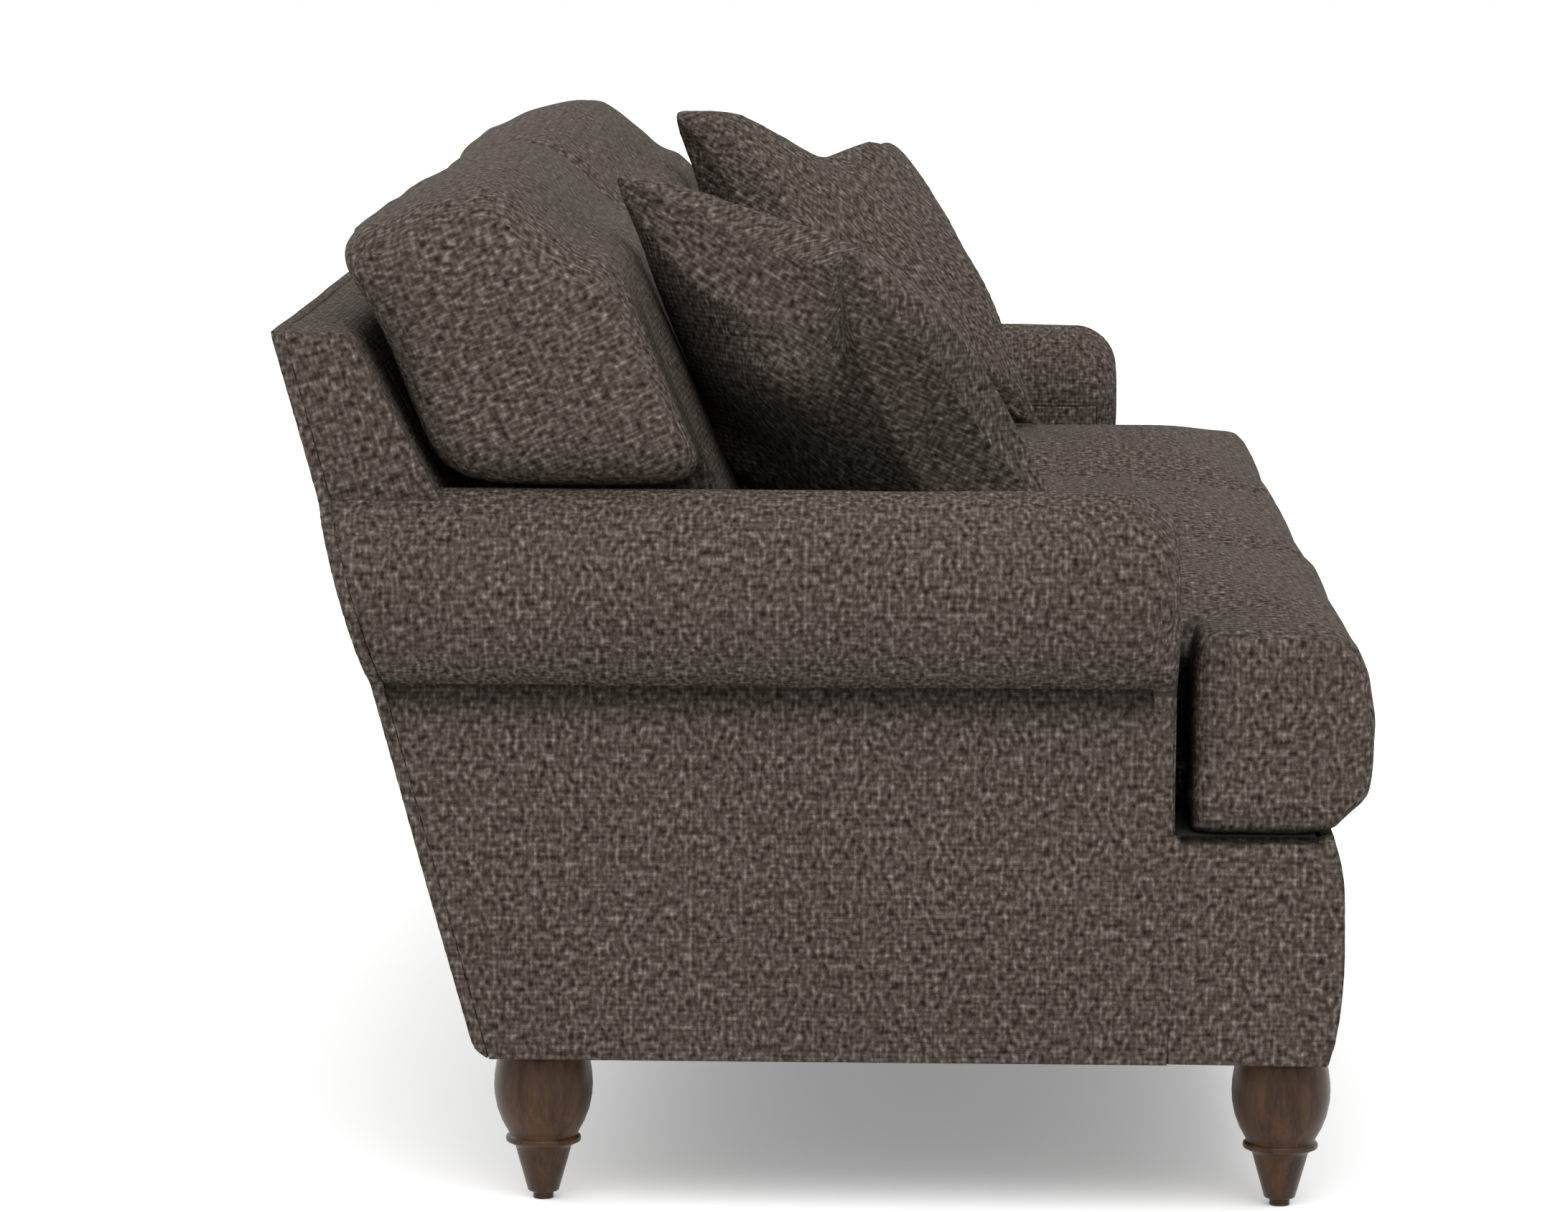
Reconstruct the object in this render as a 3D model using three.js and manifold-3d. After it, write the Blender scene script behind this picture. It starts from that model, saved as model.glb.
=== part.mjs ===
// Three-seat English roll arm sofa, in millimetres: +Z is up, the front faces -Y, X runs along the width.
// The origin lies on the floor under the middle of the sofa. Left is the -X side.
import * as THREE from 'three';
import { mergeVertices } from 'three/addons/utils/BufferGeometryUtils.js';
import Module from 'manifold-3d';

const wasm = await Module();
wasm.setup();

// Overall sizes
const overallWidth = 2200;
const overallDepth = 1008;
const gap = 0.3; // between pieces that touch
const footHeight = 142;
const baseHeight = 213; // from the underside of the base to the top of the seat deck
const armHeight = 667;
const backHeight = 812;

// Arms and base shell
const rollRadius = 92;
const rollOverhang = 55; // how far the roll stands out over the outside arm panel
const armSetback = 179; // from the cushion fronts to the arm front
const borderSetback = 23; // from the cushion fronts to the fullest line of the front border
const borderBulge = 14;
const panelThickness = 12;
const armPadThickness = 24;
const armFrontThickness = 22;
const deckThickness = 20;
const dustCoverThickness = 2;

// Back
const backRakeDegrees = 15.6;
const insideBackLeanDegrees = 28.5;
const backTopThickness = 72;
const backTopRound = 26;
const backPadThickness = 18;

// Wooden frame
const railThickness = 25;
const railHeight = 175;
const railLift = 3; // of the rails over the underside of the base
const blockWidth = 112;
const rearBlockWidth = 152;
const blockDepth = 104;
const boardThickness = 28;
const postThickness = 30;
const postDepth = 45;
const postTopDrop = 32; // from the top of the back to the top of the back posts
const backRailHeight = 40;
const backRailDepth = 28;
const lowBackRailRise = 40; // of the lower back rail over the seat deck
const uprightWidth = 32;
const stretcherHeight = 145;

// Feet
const footRadius = 46;
const footTopRadius = 42;
const footTipRadius = 12.5;
const footNeckRadius = 31;
const beadRadius = 35;
const beadHeight = 57; // of the bead's middle over the floor
const beadWidth = 7;
const footInset = 61; // from the outside arm panel to the foot's axis
const footFromFront = 76; // from the cushion fronts to the front feet's axis
const footFromRear = 59; // from the foot of the outside back to the rear feet's axis
const boltRadius = 4;
const boltInFoot = 38;
const boltInBlock = 60;

// Springs and webbing
const springsPerSeat = 3;
const wireRadius = 1.9;
const springPitch = 48;
const springHalfWidth = 24;
const springArch = 9;
const webbingWidth = 50;
const webbingThickness = 2;
const webbingStraps = 3;

// Seat cushions
const seatCount = 3;
const seatRise = 216; // from the deck to the crown of a seat cushion
const seatSideGap = 3;
const seatRearGap = 9; // from the rear edge of a seat cushion to the inside back
const seatEarGap = 15; // from the arm front to the ear of an outer seat cushion
const seatCornerRound = 45;
const seatEdgeRound = 40;
const seatLowRound = 104; // height of the lower half of the cushion's side
const seatHighRound = 84; // height of the upper half
const seatDrawIn = 4;
const seatCrownReach = 200;
const seatSideDegrees = [-80, -45, 0, 30, 55, 75]; // up the rounded side of the cushion
const seatCrownShares = [0.07, 0.16, 0.28, 0.42, 0.6, 0.8]; // from the rim to the middle
const seatCentreShare = 0.75; // of the way from the cushion fronts to the rear of an ear

// Back cushions
const backCushionTop = 948;
const backCushionBottom = 552;
const backCushionThickness = 238;
const backCushionLeanShare = 0.44; // run as a share of the rise
const backCushionEarGap = 10; // over the arm roll, before the cushion settles
const backCushionSetIn = 14; // of the ear from the outside arm panel
const backCushionCorner = 90;
const backCushionArch = 14; // of the top edge over its ends
const backCushionCrown = 2; // of the front face
const backCushionDrawIn = 7;
// Height of the rounding along an edge and its reach through the thickness, in front and then behind
const [inFront, behind] = [0, 2];
const backLowRounding = [58, 96, 40, 96];
const backEarRounding = [28, 46, 28, 46];
const backEarTopRounding = [64, 84, 54, 78];
const backTopRounding = [104, 108, 76, 110];
const backCushionBackGap = 1;
const backEdgeDegrees = [0, 35, 65];
const backCrownShares = [0.2, 0.45, 0.75];

// Throw pillows
const pillowSide = 405;
const pillowFrontCrown = 62;
const pillowBackCrown = 114; // the back fills the room behind the pillow
const pillowSagShare = 0.2; // how much fuller the lower half of the back is
const pillowSeam = 3; // half the thickness at the seam
const pillowSeamWidth = 3;
const pillowCorner = 14;
const pillowDrawIn = 33;
const pillowLeanDegrees = [43.6, 39.3]; // of the left and the right pillow
const pillowTurnDegrees = 32;
const pillowRollDegrees = [15, 12.6];
const pillowFromArm = 242; // from the inside arm to the pillow's centre
const pillowCrownShares = [0.08, 0.2, 0.36, 0.56, 0.78];
const pillowSideSteps = 7;

// Joint directions and settings shared by the soft pieces
const liftRunShare = 0.46; // run of a back cushion as it is lifted, as a share of the rise
const curveSteps = 5;
const rollSteps = 26;
const latheSteps = 16;
const settlingPasses = 12; // of moving a soft piece back and down until it rests

// Places worked out from the sizes above
const frontY = -overallDepth / 2;
const rearTopY = overallDepth / 2;
const baseBottom = footHeight;
const deckTop = baseBottom + baseHeight;
const panelX = overallWidth / 2 - rollOverhang;
const rollCentreX = overallWidth / 2 - rollRadius;
const rollCentreZ = armHeight - rollRadius;
const innerArmX = rollCentreX - rollRadius;
const armFrontY = frontY + armSetback;
const armBodyY = armFrontY + armFrontThickness;
const borderEdgeY = frontY + borderSetback + borderBulge;
const borderInnerY = borderEdgeY + panelThickness;
const panelInnerX = panelX - panelThickness;
const railBottom = baseBottom + railLift;
const railTop = railBottom + railHeight;
const boardTop = rollCentreZ - gap;
const boardBottom = boardTop - boardThickness;
const boardInnerX = innerArmX + armPadThickness + gap;

const rearAt = (z) => rearTopY - (backHeight - z) * Math.tan(THREE.MathUtils.degToRad(backRakeDegrees));
const insideAt = (z) =>
  rearTopY - backTopThickness - (backHeight - z) * Math.tan(THREE.MathUtils.degToRad(insideBackLeanDegrees));
const shellRearAt = (z) => rearAt(z) - panelThickness - gap;

const blockRearY = shellRearAt(baseBottom);
const rearBlockFrontY = blockRearY - blockDepth;
const frontBlockRearY = borderInnerY + gap + blockDepth;
const blockOuterX = panelInnerX - gap;
const postTop = backHeight - postTopDrop;
const postRearAt = (z) => {
  const share = (z - railTop) / (postTop - railTop);
  return THREE.MathUtils.lerp(blockRearY, shellRearAt(postTop), share);
};
const postFrontAt = (z) => postRearAt(z) - postDepth;

// Materials
const material = (color, roughness) => new THREE.MeshStandardMaterial({ color, roughness, metalness: 0 });
const tweed = () => material(0x57504a, 0.95);
const lining = () => material(0x26231f, 0.95);
const hardwood = () => material(0xb08a5b, 0.7);
const walnut = () => material(0x4b3528, 0.35);
const jute = () => material(0x8f7a55, 0.95);
const steel = () => new THREE.MeshStandardMaterial({ color: 0x6f7174, roughness: 0.4, metalness: 1 });

const sofa = new THREE.Group();

function add(name, geometry, surface, [x, y, z] = [0, 0, 0]) {
  const mesh = new THREE.Mesh(geometry, surface);
  mesh.name = name;
  mesh.position.set(x, y, z);
  sofa.add(mesh);
  return mesh;
}

// A box between two corners.
function addBox(name, surface, [x0, x1], [y0, y1], [z0, z1]) {
  const geometry = new THREE.BoxGeometry(x1 - x0, y1 - y0, z1 - z0);
  return add(name, geometry, surface, [(x0 + x1) / 2, (y0 + y1) / 2, (z0 + z1) / 2]);
}

function shapeOf(points) {
  return new THREE.Shape(points.map(([a, b]) => new THREE.Vector2(a, b)));
}

function extruded(points, depth) {
  return new THREE.ExtrudeGeometry(shapeOf(points), { depth, bevelEnabled: false });
}

// A side profile, given as [y, z] points, made thick along X.
function sideProfile(points, width) {
  const sideways = new THREE.Matrix4().set(0, 0, 1, 0, 1, 0, 0, 0, 0, 1, 0, 0, 0, 0, 0, 1);
  return extruded(points, width).applyMatrix4(sideways);
}

// A front profile, given as [x, z] points, made thick along Y between two faces that may lean.
function frontProfile(points, frontFace, rearFace) {
  const geometry = extruded(points, overallDepth).rotateX(Math.PI / 2);
  const position = geometry.attributes.position;
  for (let i = 0; i < position.count; i += 1) {
    const face = position.getY(i) < -overallDepth / 2 ? frontFace : rearFace;
    position.setY(i, face(position.getZ(i)));
  }
  return geometry;
}

function arcPoints(centreX, centreZ, radius, from, to, steps) {
  return Array.from({ length: steps + 1 }, (_, i) => {
    const angle = THREE.MathUtils.lerp(from, to, i / steps);
    return [centreX + radius * Math.cos(angle), centreZ + radius * Math.sin(angle)];
  });
}

function solidOf(geometry) {
  const bare = geometry.index ? geometry.toNonIndexed() : geometry.clone();
  bare.deleteAttribute('normal');
  bare.deleteAttribute('uv');
  const merged = mergeVertices(bare);
  return new wasm.Manifold(new wasm.Mesh({
    numProp: 3,
    vertProperties: new Float32Array(merged.attributes.position.array),
    triVerts: new Uint32Array(merged.index.array),
  }));
}

function geometryOf(solid) {
  const { vertProperties, triVerts } = solid.getMesh();
  const geometry = new THREE.BufferGeometry();
  geometry.setAttribute('position', new THREE.BufferAttribute(new Float32Array(vertProperties), 3));
  geometry.setIndex(new THREE.BufferAttribute(new Uint32Array(triVerts), 1));
  return geometry;
}

const sides = [['left', -1], ['right', 1]];
const across = (sign, near, far) => (sign > 0 ? [near, far] : [-far, -near]);

// Feet, their bolts and the corner blocks that they screw into
function footGeometry() {
  const bulbMiddle = footHeight - Math.sqrt(footRadius ** 2 - footTopRadius ** 2) * 2;
  const bulbRise = footHeight - bulbMiddle;
  const beadTop = beadHeight + beadWidth / 2;
  const bulb = Array.from({ length: curveSteps * 2 + 1 }, (_, i) => {
    const share = i / (curveSteps * 2);
    const z = THREE.MathUtils.lerp(beadTop, footHeight, share);
    const drop = z < bulbMiddle ? (bulbMiddle - z) / (bulbMiddle - beadTop) : (z - bulbMiddle) / bulbRise;
    const least = z < bulbMiddle ? footNeckRadius : footTopRadius;
    return [footRadius - (footRadius - least) * drop ** 2, z];
  });
  const profile = [
    [0, 0],
    [footTipRadius, 0],
    [footNeckRadius - beadWidth, beadHeight - beadWidth * 2],
    [footNeckRadius, beadHeight - beadWidth / 2],
    [beadRadius, beadHeight],
    ...bulb,
    [boltRadius + gap, footHeight],
    [boltRadius + gap, footHeight - boltInFoot - gap],
    [0, footHeight - boltInFoot - gap],
  ];
  const points = profile.map(([r, z]) => new THREE.Vector2(r, z));
  return new THREE.LatheGeometry(points, latheSteps).rotateX(Math.PI / 2);
}

const footX = panelX - footInset;
const footRows = {
  front: { y: frontY + footFromFront, block: [borderInnerY + gap, frontBlockRearY], width: blockWidth },
  rear: { y: rearAt(baseBottom) - footFromRear, block: [rearBlockFrontY, blockRearY], width: rearBlockWidth },
};

for (const [side, sign] of sides) {
  for (const [row, { y, block, width }] of Object.entries(footRows)) {
    add(`foot_${row}_${side}`, footGeometry(), walnut(), [sign * footX, y, 0]);
    const boltLength = boltInFoot + boltInBlock;
    const boltMiddle = footHeight + boltInBlock - boltLength / 2;
    const bolt = new THREE.CylinderGeometry(boltRadius, boltRadius, boltLength, latheSteps);
    add(`hanger_bolt_${row}_${side}`, bolt.rotateX(Math.PI / 2), steel(), [sign * footX, y, boltMiddle]);
    const [x0, x1] = across(sign, blockOuterX - width, blockOuterX);
    const plan = shapeOf([[x0, block[0]], [x1, block[0]], [x1, block[1]], [x0, block[1]]]);
    const hole = new THREE.Path().absarc(sign * footX, y, boltRadius + gap, 0, Math.PI * 2);
    plan.holes.push(hole);
    const depth = railTop - baseBottom;
    const cut = { depth, bevelEnabled: false, curveSegments: latheSteps };
    add(`corner_block_${row}_${side}`, new THREE.ExtrudeGeometry(plan, cut), hardwood(), [0, 0, baseBottom]);
  }
}

// Rails of the seat frame
const rails = [railBottom, railTop];
const frontRailX = blockOuterX - blockWidth - gap;
const rearRailX = blockOuterX - rearBlockWidth - gap;
const frontRailRearY = borderInnerY + gap + railThickness;
const rearRailY = [blockRearY - railThickness * 2, blockRearY - railThickness];
addBox('front_rail', hardwood(), [-frontRailX, frontRailX], [borderInnerY + gap, frontRailRearY], rails);
addBox('rear_rail', hardwood(), [-rearRailX, rearRailX], rearRailY, rails);
const betweenRails = [frontRailRearY + gap, rearRailY[0] - gap];
const stretcherZ = [railBottom, railBottom + stretcherHeight];
addBox('centre_stretcher', hardwood(), [-boardThickness / 2, boardThickness / 2], betweenRails, stretcherZ);
for (const [side, sign] of sides) {
  const railX = across(sign, blockOuterX - railThickness, blockOuterX);
  addBox(`side_rail_${side}`, hardwood(), railX, [frontBlockRearY + gap, rearBlockFrontY - gap], rails);
}

// Sinuous seat springs, each one wire that zigzags from the front rail to the rear rail
class ZigzagCurve extends THREE.Curve {
  constructor(points) {
    super();
    this.points = points;
  }

  getPoint(t) {
    const place = t * (this.points.length - 1);
    const start = Math.min(Math.floor(place), this.points.length - 2);
    return this.points[start].clone().lerp(this.points[start + 1], place - start);
  }

  getPointAt(t) {
    return this.getPoint(t);
  }
}

function springGeometry() {
  const from = (borderInnerY + gap + frontRailRearY) / 2;
  const to = (rearRailY[0] + rearRailY[1]) / 2;
  const bends = Math.round((to - from) / springPitch) * 2;
  const points = Array.from({ length: bends + 1 }, (_, i) => {
    const share = i / bends;
    const reach = i === 0 || i === bends ? 0 : springHalfWidth * Math.sign(Math.sin((i - 0.5) * Math.PI / 2));
    const z = railTop + wireRadius * 2 + springArch * Math.sin(Math.PI * share);
    return new THREE.Vector3(reach, THREE.MathUtils.lerp(from, to, share), z);
  });
  const section = new THREE.Shape();
  section.moveTo(wireRadius, 0);
  section.lineTo(0, wireRadius);
  section.lineTo(-wireRadius, 0);
  section.lineTo(0, -wireRadius);
  const path = new ZigzagCurve(points);
  return new THREE.ExtrudeGeometry(section, { steps: bends, extrudePath: path, bevelEnabled: false });
}

const springCount = springsPerSeat * seatCount;
for (let i = 0; i < springCount; i += 1) {
  const x = (i + 0.5 - springCount / 2) * (2 * innerArmX / springCount);
  add(`seat_spring_${i + 1}`, springGeometry(), steel(), [x, 0, 0]);
}

// Seat deck over the springs, wider in front where it runs under the ears of the cushions
const deckRearY = postFrontAt(deckTop - deckThickness) - gap;
const deckWideX = panelInnerX - gap;
const deckNarrowX = innerArmX + armPadThickness;
const deckStepY = armFrontY - gap;
const deckHalf = [
  [deckWideX, borderInnerY + gap],
  [deckWideX, deckStepY],
  [deckNarrowX, deckStepY],
  [deckNarrowX, deckRearY],
];
const deckPlan = [...deckHalf, ...deckHalf.map(([x, y]) => [-x, y]).reverse()];
add('seat_deck', extruded(deckPlan, deckThickness), lining(), [0, 0, deckTop - deckThickness]);

// Dust cover under the base, cut out round the corner blocks
const coverY = [borderInnerY + gap, blockRearY];
const coverHalf = [
  [frontRailX, coverY[0]],
  [frontRailX, frontBlockRearY + gap],
  [blockOuterX, frontBlockRearY + gap],
  [blockOuterX, rearBlockFrontY - gap],
  [rearRailX, rearBlockFrontY - gap],
  [rearRailX, coverY[1]],
];
const coverPlan = [...coverHalf, ...coverHalf.map(([x, y]) => [-x, y]).reverse()];
add('dust_cover', extruded(coverPlan, dustCoverThickness), lining(), [0, 0, baseBottom]);

// Front border: a padded front wall that swells forward, with a return at each end up to the arm seam
const seamY = armFrontY + panelThickness / 2;
function borderGeometry() {
  const swell = Array.from({ length: curveSteps * 2 + 1 }, (_, i) => {
    const share = i / (curveSteps * 2);
    return [borderEdgeY - borderBulge * Math.sin(Math.PI * share) ** 0.7, baseBottom + baseHeight * share];
  });
  const outer = sideProfile([...swell, [seamY, deckTop], [seamY, baseBottom]], panelX * 2);
  outer.translate(-panelX, 0, 0);
  const inner = new THREE.BoxGeometry(panelInnerX * 2, seamY - borderInnerY + overallDepth, baseHeight * 2);
  inner.translate(0, borderInnerY + (seamY - borderInnerY + overallDepth) / 2, baseBottom + baseHeight / 2);
  return geometryOf(solidOf(outer).subtract(solidOf(inner)));
}
add('front_border', borderGeometry(), tweed());

// Arms: the roll curves from the inside arm over the top and down to the outside arm panel
const rollTuck = Math.acos((panelX - rollCentreX) / rollRadius);
const rollArc = arcPoints(rollCentreX, rollCentreZ, rollRadius, Math.PI, -rollTuck, rollSteps);

function rollPoints(sign) {
  return [...rollArc, [panelX, rollCentreZ]].map(([x, z]) => [sign * x, z]);
}

function armFrontPoints(sign) {
  const foot = [[panelX, deckTop + gap], [innerArmX, deckTop + gap]];
  return [...rollArc, ...foot].map(([x, z]) => [sign * x, z]);
}

for (const [side, sign] of sides) {
  const at = (value) => () => value;
  const roll = frontProfile(rollPoints(sign), at(armBodyY + gap), shellRearAt);
  add(`arm_roll_${side}`, roll, tweed());
  const front = frontProfile(armFrontPoints(sign), at(armFrontY), at(armBodyY));
  add(`arm_front_panel_${side}`, front, tweed());

  const boardX = across(sign, boardInnerX, panelX - gap);
  const boardPoints = [
    [armBodyY + gap, boardBottom],
    [armBodyY + gap, boardTop],
    [shellRearAt(boardTop), boardTop],
    [shellRearAt(boardBottom), boardBottom],
  ];
  add(`arm_board_${side}`, sideProfile(boardPoints, boardX[1] - boardX[0]), hardwood(), [boardX[0], 0, 0]);

  const armPostX = across(sign, boardInnerX, panelInnerX - gap);
  const armPostY = [armBodyY + gap, armBodyY + gap + railThickness];
  addBox(`arm_front_post_${side}`, hardwood(), armPostX, armPostY, [railTop + gap, boardBottom - gap]);

  const padX = across(sign, innerArmX, innerArmX + armPadThickness);
  const padTop = rollCentreZ - gap;
  const padBottom = deckTop + gap;
  const padPoints = [
    [armBodyY + gap, padBottom],
    [armBodyY + gap, padTop],
    [insideAt(padTop) + backPadThickness, padTop],
    [insideAt(padBottom) + backPadThickness, padBottom],
  ];
  add(`inside_arm_pad_${side}`, sideProfile(padPoints, padX[1] - padX[0]), tweed(), [padX[0], 0, 0]);

  const panelStart = across(sign, panelInnerX, panelX);
  const panelTop = boardBottom - gap;
  const panelPoints = [
    [seamY + gap, baseBottom],
    [seamY + gap, deckTop],
    [armBodyY + gap, deckTop],
    [armBodyY + gap, panelTop],
    [shellRearAt(panelTop), panelTop],
    [shellRearAt(baseBottom), baseBottom],
  ];
  add(`outside_arm_panel_${side}`, sideProfile(panelPoints, panelThickness), tweed(), [panelStart[0], 0, 0]);
}

// Back frame
const backRail = (z0, z1) => [
  [postFrontAt(z0), z0],
  [postFrontAt(z1), z1],
  [postFrontAt(z1) + backRailDepth, z1],
  [postFrontAt(z0) + backRailDepth, z0],
];
const postInnerX = innerArmX - postThickness;
const backRailX = postInnerX - gap;
const lowRailZ = [deckTop + lowBackRailRise, deckTop + lowBackRailRise + backRailHeight];
const topRailZ = [postTop - backRailHeight, postTop];
const uprightZ = [lowRailZ[1] + gap, topRailZ[0] - gap];
for (const [name, [z0, z1]] of Object.entries({ back_low_rail: lowRailZ, back_top_rail: topRailZ })) {
  add(name, sideProfile(backRail(z0, z1), backRailX * 2), hardwood(), [-backRailX, 0, 0]);
}
const upright = sideProfile(backRail(...uprightZ), uprightWidth);
add('back_centre_upright', upright, hardwood(), [-uprightWidth / 2, 0, 0]);

for (const [side, sign] of sides) {
  const [x0, x1] = across(sign, postInnerX, innerArmX);
  const postFoot = railTop + gap;
  const points = [
    [postFrontAt(postFoot), postFoot],
    [postRearAt(postFoot), postFoot],
    [postRearAt(postTop), postTop],
    [postFrontAt(postTop), postTop],
  ];
  add(`back_post_${side}`, sideProfile(points, x1 - x0), hardwood(), [x0, 0, 0]);
}

for (let i = 0; i < webbingStraps; i += 1) {
  const x = (i + 0.5 - webbingStraps / 2) * (2 * backRailX / webbingStraps) - webbingWidth / 2;
  const strapZ = [lowRailZ[0], topRailZ[1]];
  const strapRear = (z) => postFrontAt(z) - gap;
  const points = [
    [strapRear(strapZ[0]) - webbingThickness, strapZ[0]],
    [strapRear(strapZ[0]), strapZ[0]],
    [strapRear(strapZ[1]), strapZ[1]],
    [strapRear(strapZ[1]) - webbingThickness, strapZ[1]],
  ];
  add(`back_webbing_${i + 1}`, sideProfile(points, webbingWidth), jute(), [x, 0, 0]);
}

// Outside back: one raked panel that also closes the rear ends of the arm rolls
function outsideBackGeometry() {
  const lobe = arcPoints(rollCentreX, rollCentreZ, rollRadius, -rollTuck, rollTuck, rollSteps / 2);
  const half = [[panelX, baseBottom], ...lobe, [panelX, backHeight]];
  const points = [...half, ...half.map(([x, z]) => [-x, z]).reverse()];
  return frontProfile(points, (z) => rearAt(z) - panelThickness, rearAt);
}
add('outside_back_panel', outsideBackGeometry(), tweed());

// The rounded edge where the inside back turns over into the top of the back
function topRound() {
  const lean = THREE.MathUtils.degToRad(insideBackLeanDegrees);
  const centreZ = backHeight - backTopRound;
  const centreY = insideAt(centreZ) + backTopRound / Math.cos(lean);
  return arcPoints(centreY, centreZ, backTopRound, Math.PI - lean, Math.PI / 2, curveSteps);
}

// Inside back: a pad that leans in front of the webbing and hooks over the top rail
const insideBackPoints = [
  [insideAt(deckTop + gap) + backPadThickness, deckTop + gap],
  [insideAt(deckTop + gap), deckTop + gap],
  ...topRound(),
  [shellRearAt(backHeight), backHeight],
  [shellRearAt(postTop + gap), postTop + gap],
  [insideAt(postTop + gap) + backPadThickness, postTop + gap],
];
const insideBackX = innerArmX - gap;
add('inside_back_pad', sideProfile(insideBackPoints, insideBackX * 2), tweed(), [-insideBackX, 0, 0]);

// Wings: the ends of the back that stand on the arm rolls
for (const [side, sign] of sides) {
  const wingBottom = rollCentreZ + rollRadius / 2;
  const points = [
    [insideAt(wingBottom), wingBottom],
    ...topRound(),
    [shellRearAt(backHeight), backHeight],
    [shellRearAt(wingBottom), wingBottom],
  ];
  const [x0, x1] = across(sign, innerArmX + gap, panelX);
  const wing = sideProfile(points, x1 - x0).translate(x0, 0, 0);
  const circle = arcPoints(sign * rollCentreX, rollCentreZ, rollRadius + gap, 0, Math.PI * 2, rollSteps * 2);
  const roll = extruded(circle.slice(1), overallDepth).rotateX(Math.PI / 2).translate(0, overallDepth, 0);
  add(`back_wing_${side}`, geometryOf(solidOf(wing).subtract(solidOf(roll))), tweed());
}

// Outline of a cushion: corners [a, b, round] in order, with round corners and drawn-in sides.
// A corner may also carry the sizes of its rounding, and how far the side after it arches out.
function cushionOutline(corners, drawIn, step) {
  const area = corners.reduce((sum, [a, b], i) => {
    const [c, d] = corners[(i + 1) % corners.length];
    return sum + a * d - c * b;
  }, 0);
  const ordered = area > 0 ? corners : [...corners].reverse();
  const points = [];
  const ends = ordered.map(([a, b, round, rounding = [], arch = -drawIn], i) => {
    const count = ordered.length;
    const corner = new THREE.Vector2(a, b);
    const before = new THREE.Vector2(...ordered[(i + count - 1) % count]).sub(corner).normalize();
    const after = new THREE.Vector2(...ordered[(i + 1) % count]).sub(corner).normalize();
    const turn = Math.sign(after.cross(before));
    const centre = corner.clone().addScaledVector(before, round).addScaledVector(after, round);
    return { before, after, round, turn, centre, rounding, arch };
  });
  ends.forEach(({ before, after, round, turn, centre, rounding, arch }, i) => {
    for (let k = 0; k <= curveSteps; k += 1) {
      const angle = (k / curveSteps) * Math.PI / 2;
      const out = after.clone().multiplyScalar(-Math.cos(angle)).addScaledVector(before, -Math.sin(angle));
      const at = centre.clone().addScaledVector(out, round);
      points.push({ at, normal: out.clone().multiplyScalar(turn), rounding });
    }
    const next = ends[(i + 1) % ends.length];
    const start = centre.clone().addScaledVector(before, -round);
    const end = next.centre.clone().addScaledVector(next.after, -next.round);
    const length = start.distanceTo(end);
    const pieces = Math.max(1, Math.round(length / step));
    const normal = new THREE.Vector2(after.y, -after.x);
    for (let k = 1; k < pieces; k += 1) {
      const at = start.clone().lerp(end, k / pieces);
      at.addScaledVector(normal, arch * Math.sin(Math.PI * k / pieces));
      const share = THREE.MathUtils.smoothstep(k / pieces, 0, 1);
      const blend = rounding.map((size, j) => THREE.MathUtils.lerp(size, next.rounding[j], share));
      points.push({ at, normal: normal.clone(), rounding: blend });
    }
  });
  return points;
}

function distanceToOutline(outline, a, b) {
  const place = new THREE.Vector3(a, b, 0);
  const near = new THREE.Vector3();
  return outline.reduce((least, { at }, i) => {
    const next = outline[(i + 1) % outline.length].at;
    const line = new THREE.Line3(new THREE.Vector3(at.x, at.y, 0), new THREE.Vector3(next.x, next.y, 0));
    line.closestPointToPoint(place, true, near);
    return Math.min(least, near.distanceTo(place));
  }, Infinity);
}

// A stuffed cover: rows of the outline, set in and raised, then closed by a point at each end.
// Each row has an inset, a share of the way to the centre and a height, all of which may vary along it.
function stuffedCover(outline, centre, rows, bottom, top) {
  const vertices = [];
  const indices = [];
  const count = outline.length;
  for (const { inset, share = 0, height } of rows) {
    for (const rim of outline) {
      const point = rim.at.clone().addScaledVector(rim.normal, -inset(rim)).lerp(centre, share);
      vertices.push(point.x, point.y, height(point.x, point.y, rim));
    }
  }
  const low = vertices.length / 3;
  vertices.push(centre.x, centre.y, bottom, centre.x, centre.y, top);
  for (let i = 0; i < count; i += 1) {
    const next = (i + 1) % count;
    for (let row = 0; row < rows.length - 1; row += 1) {
      const a = row * count + i;
      const b = row * count + next;
      indices.push(a, b, b + count, a, b + count, a + count);
    }
    const last = (rows.length - 1) * count;
    indices.push(low, next, i, low + 1, last + i, last + next);
  }
  const geometry = new THREE.BufferGeometry();
  geometry.setAttribute('position', new THREE.Float32BufferAttribute(vertices, 3));
  geometry.setIndex(indices);
  return geometry;
}

// Seat cushions: boxed, flat below, crowned above; the outer two have an ear in front of the arm
const seatWidth = (2 * innerArmX - seatSideGap * (seatCount + 1)) / seatCount;
const seatBottom = deckTop + gap;
const seatMiddle = seatBottom + seatLowRound;
const seatRim = seatMiddle + seatHighRound;
const seatTop = deckTop + seatRise;
const seatRearY = insideAt(deckTop) - seatRearGap;

// Height of the top of a cushion at a distance in from its outline
function seatHeight(distance) {
  if (distance < seatEdgeRound) {
    return seatMiddle + seatHighRound * Math.sqrt(1 - (1 - distance / seatEdgeRound) ** 2);
  }
  const reach = Math.min((distance - seatEdgeRound) / seatCrownReach, 1);
  return seatRim + (seatTop - seatRim) * (1 - (1 - reach) ** 2.5);
}

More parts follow.
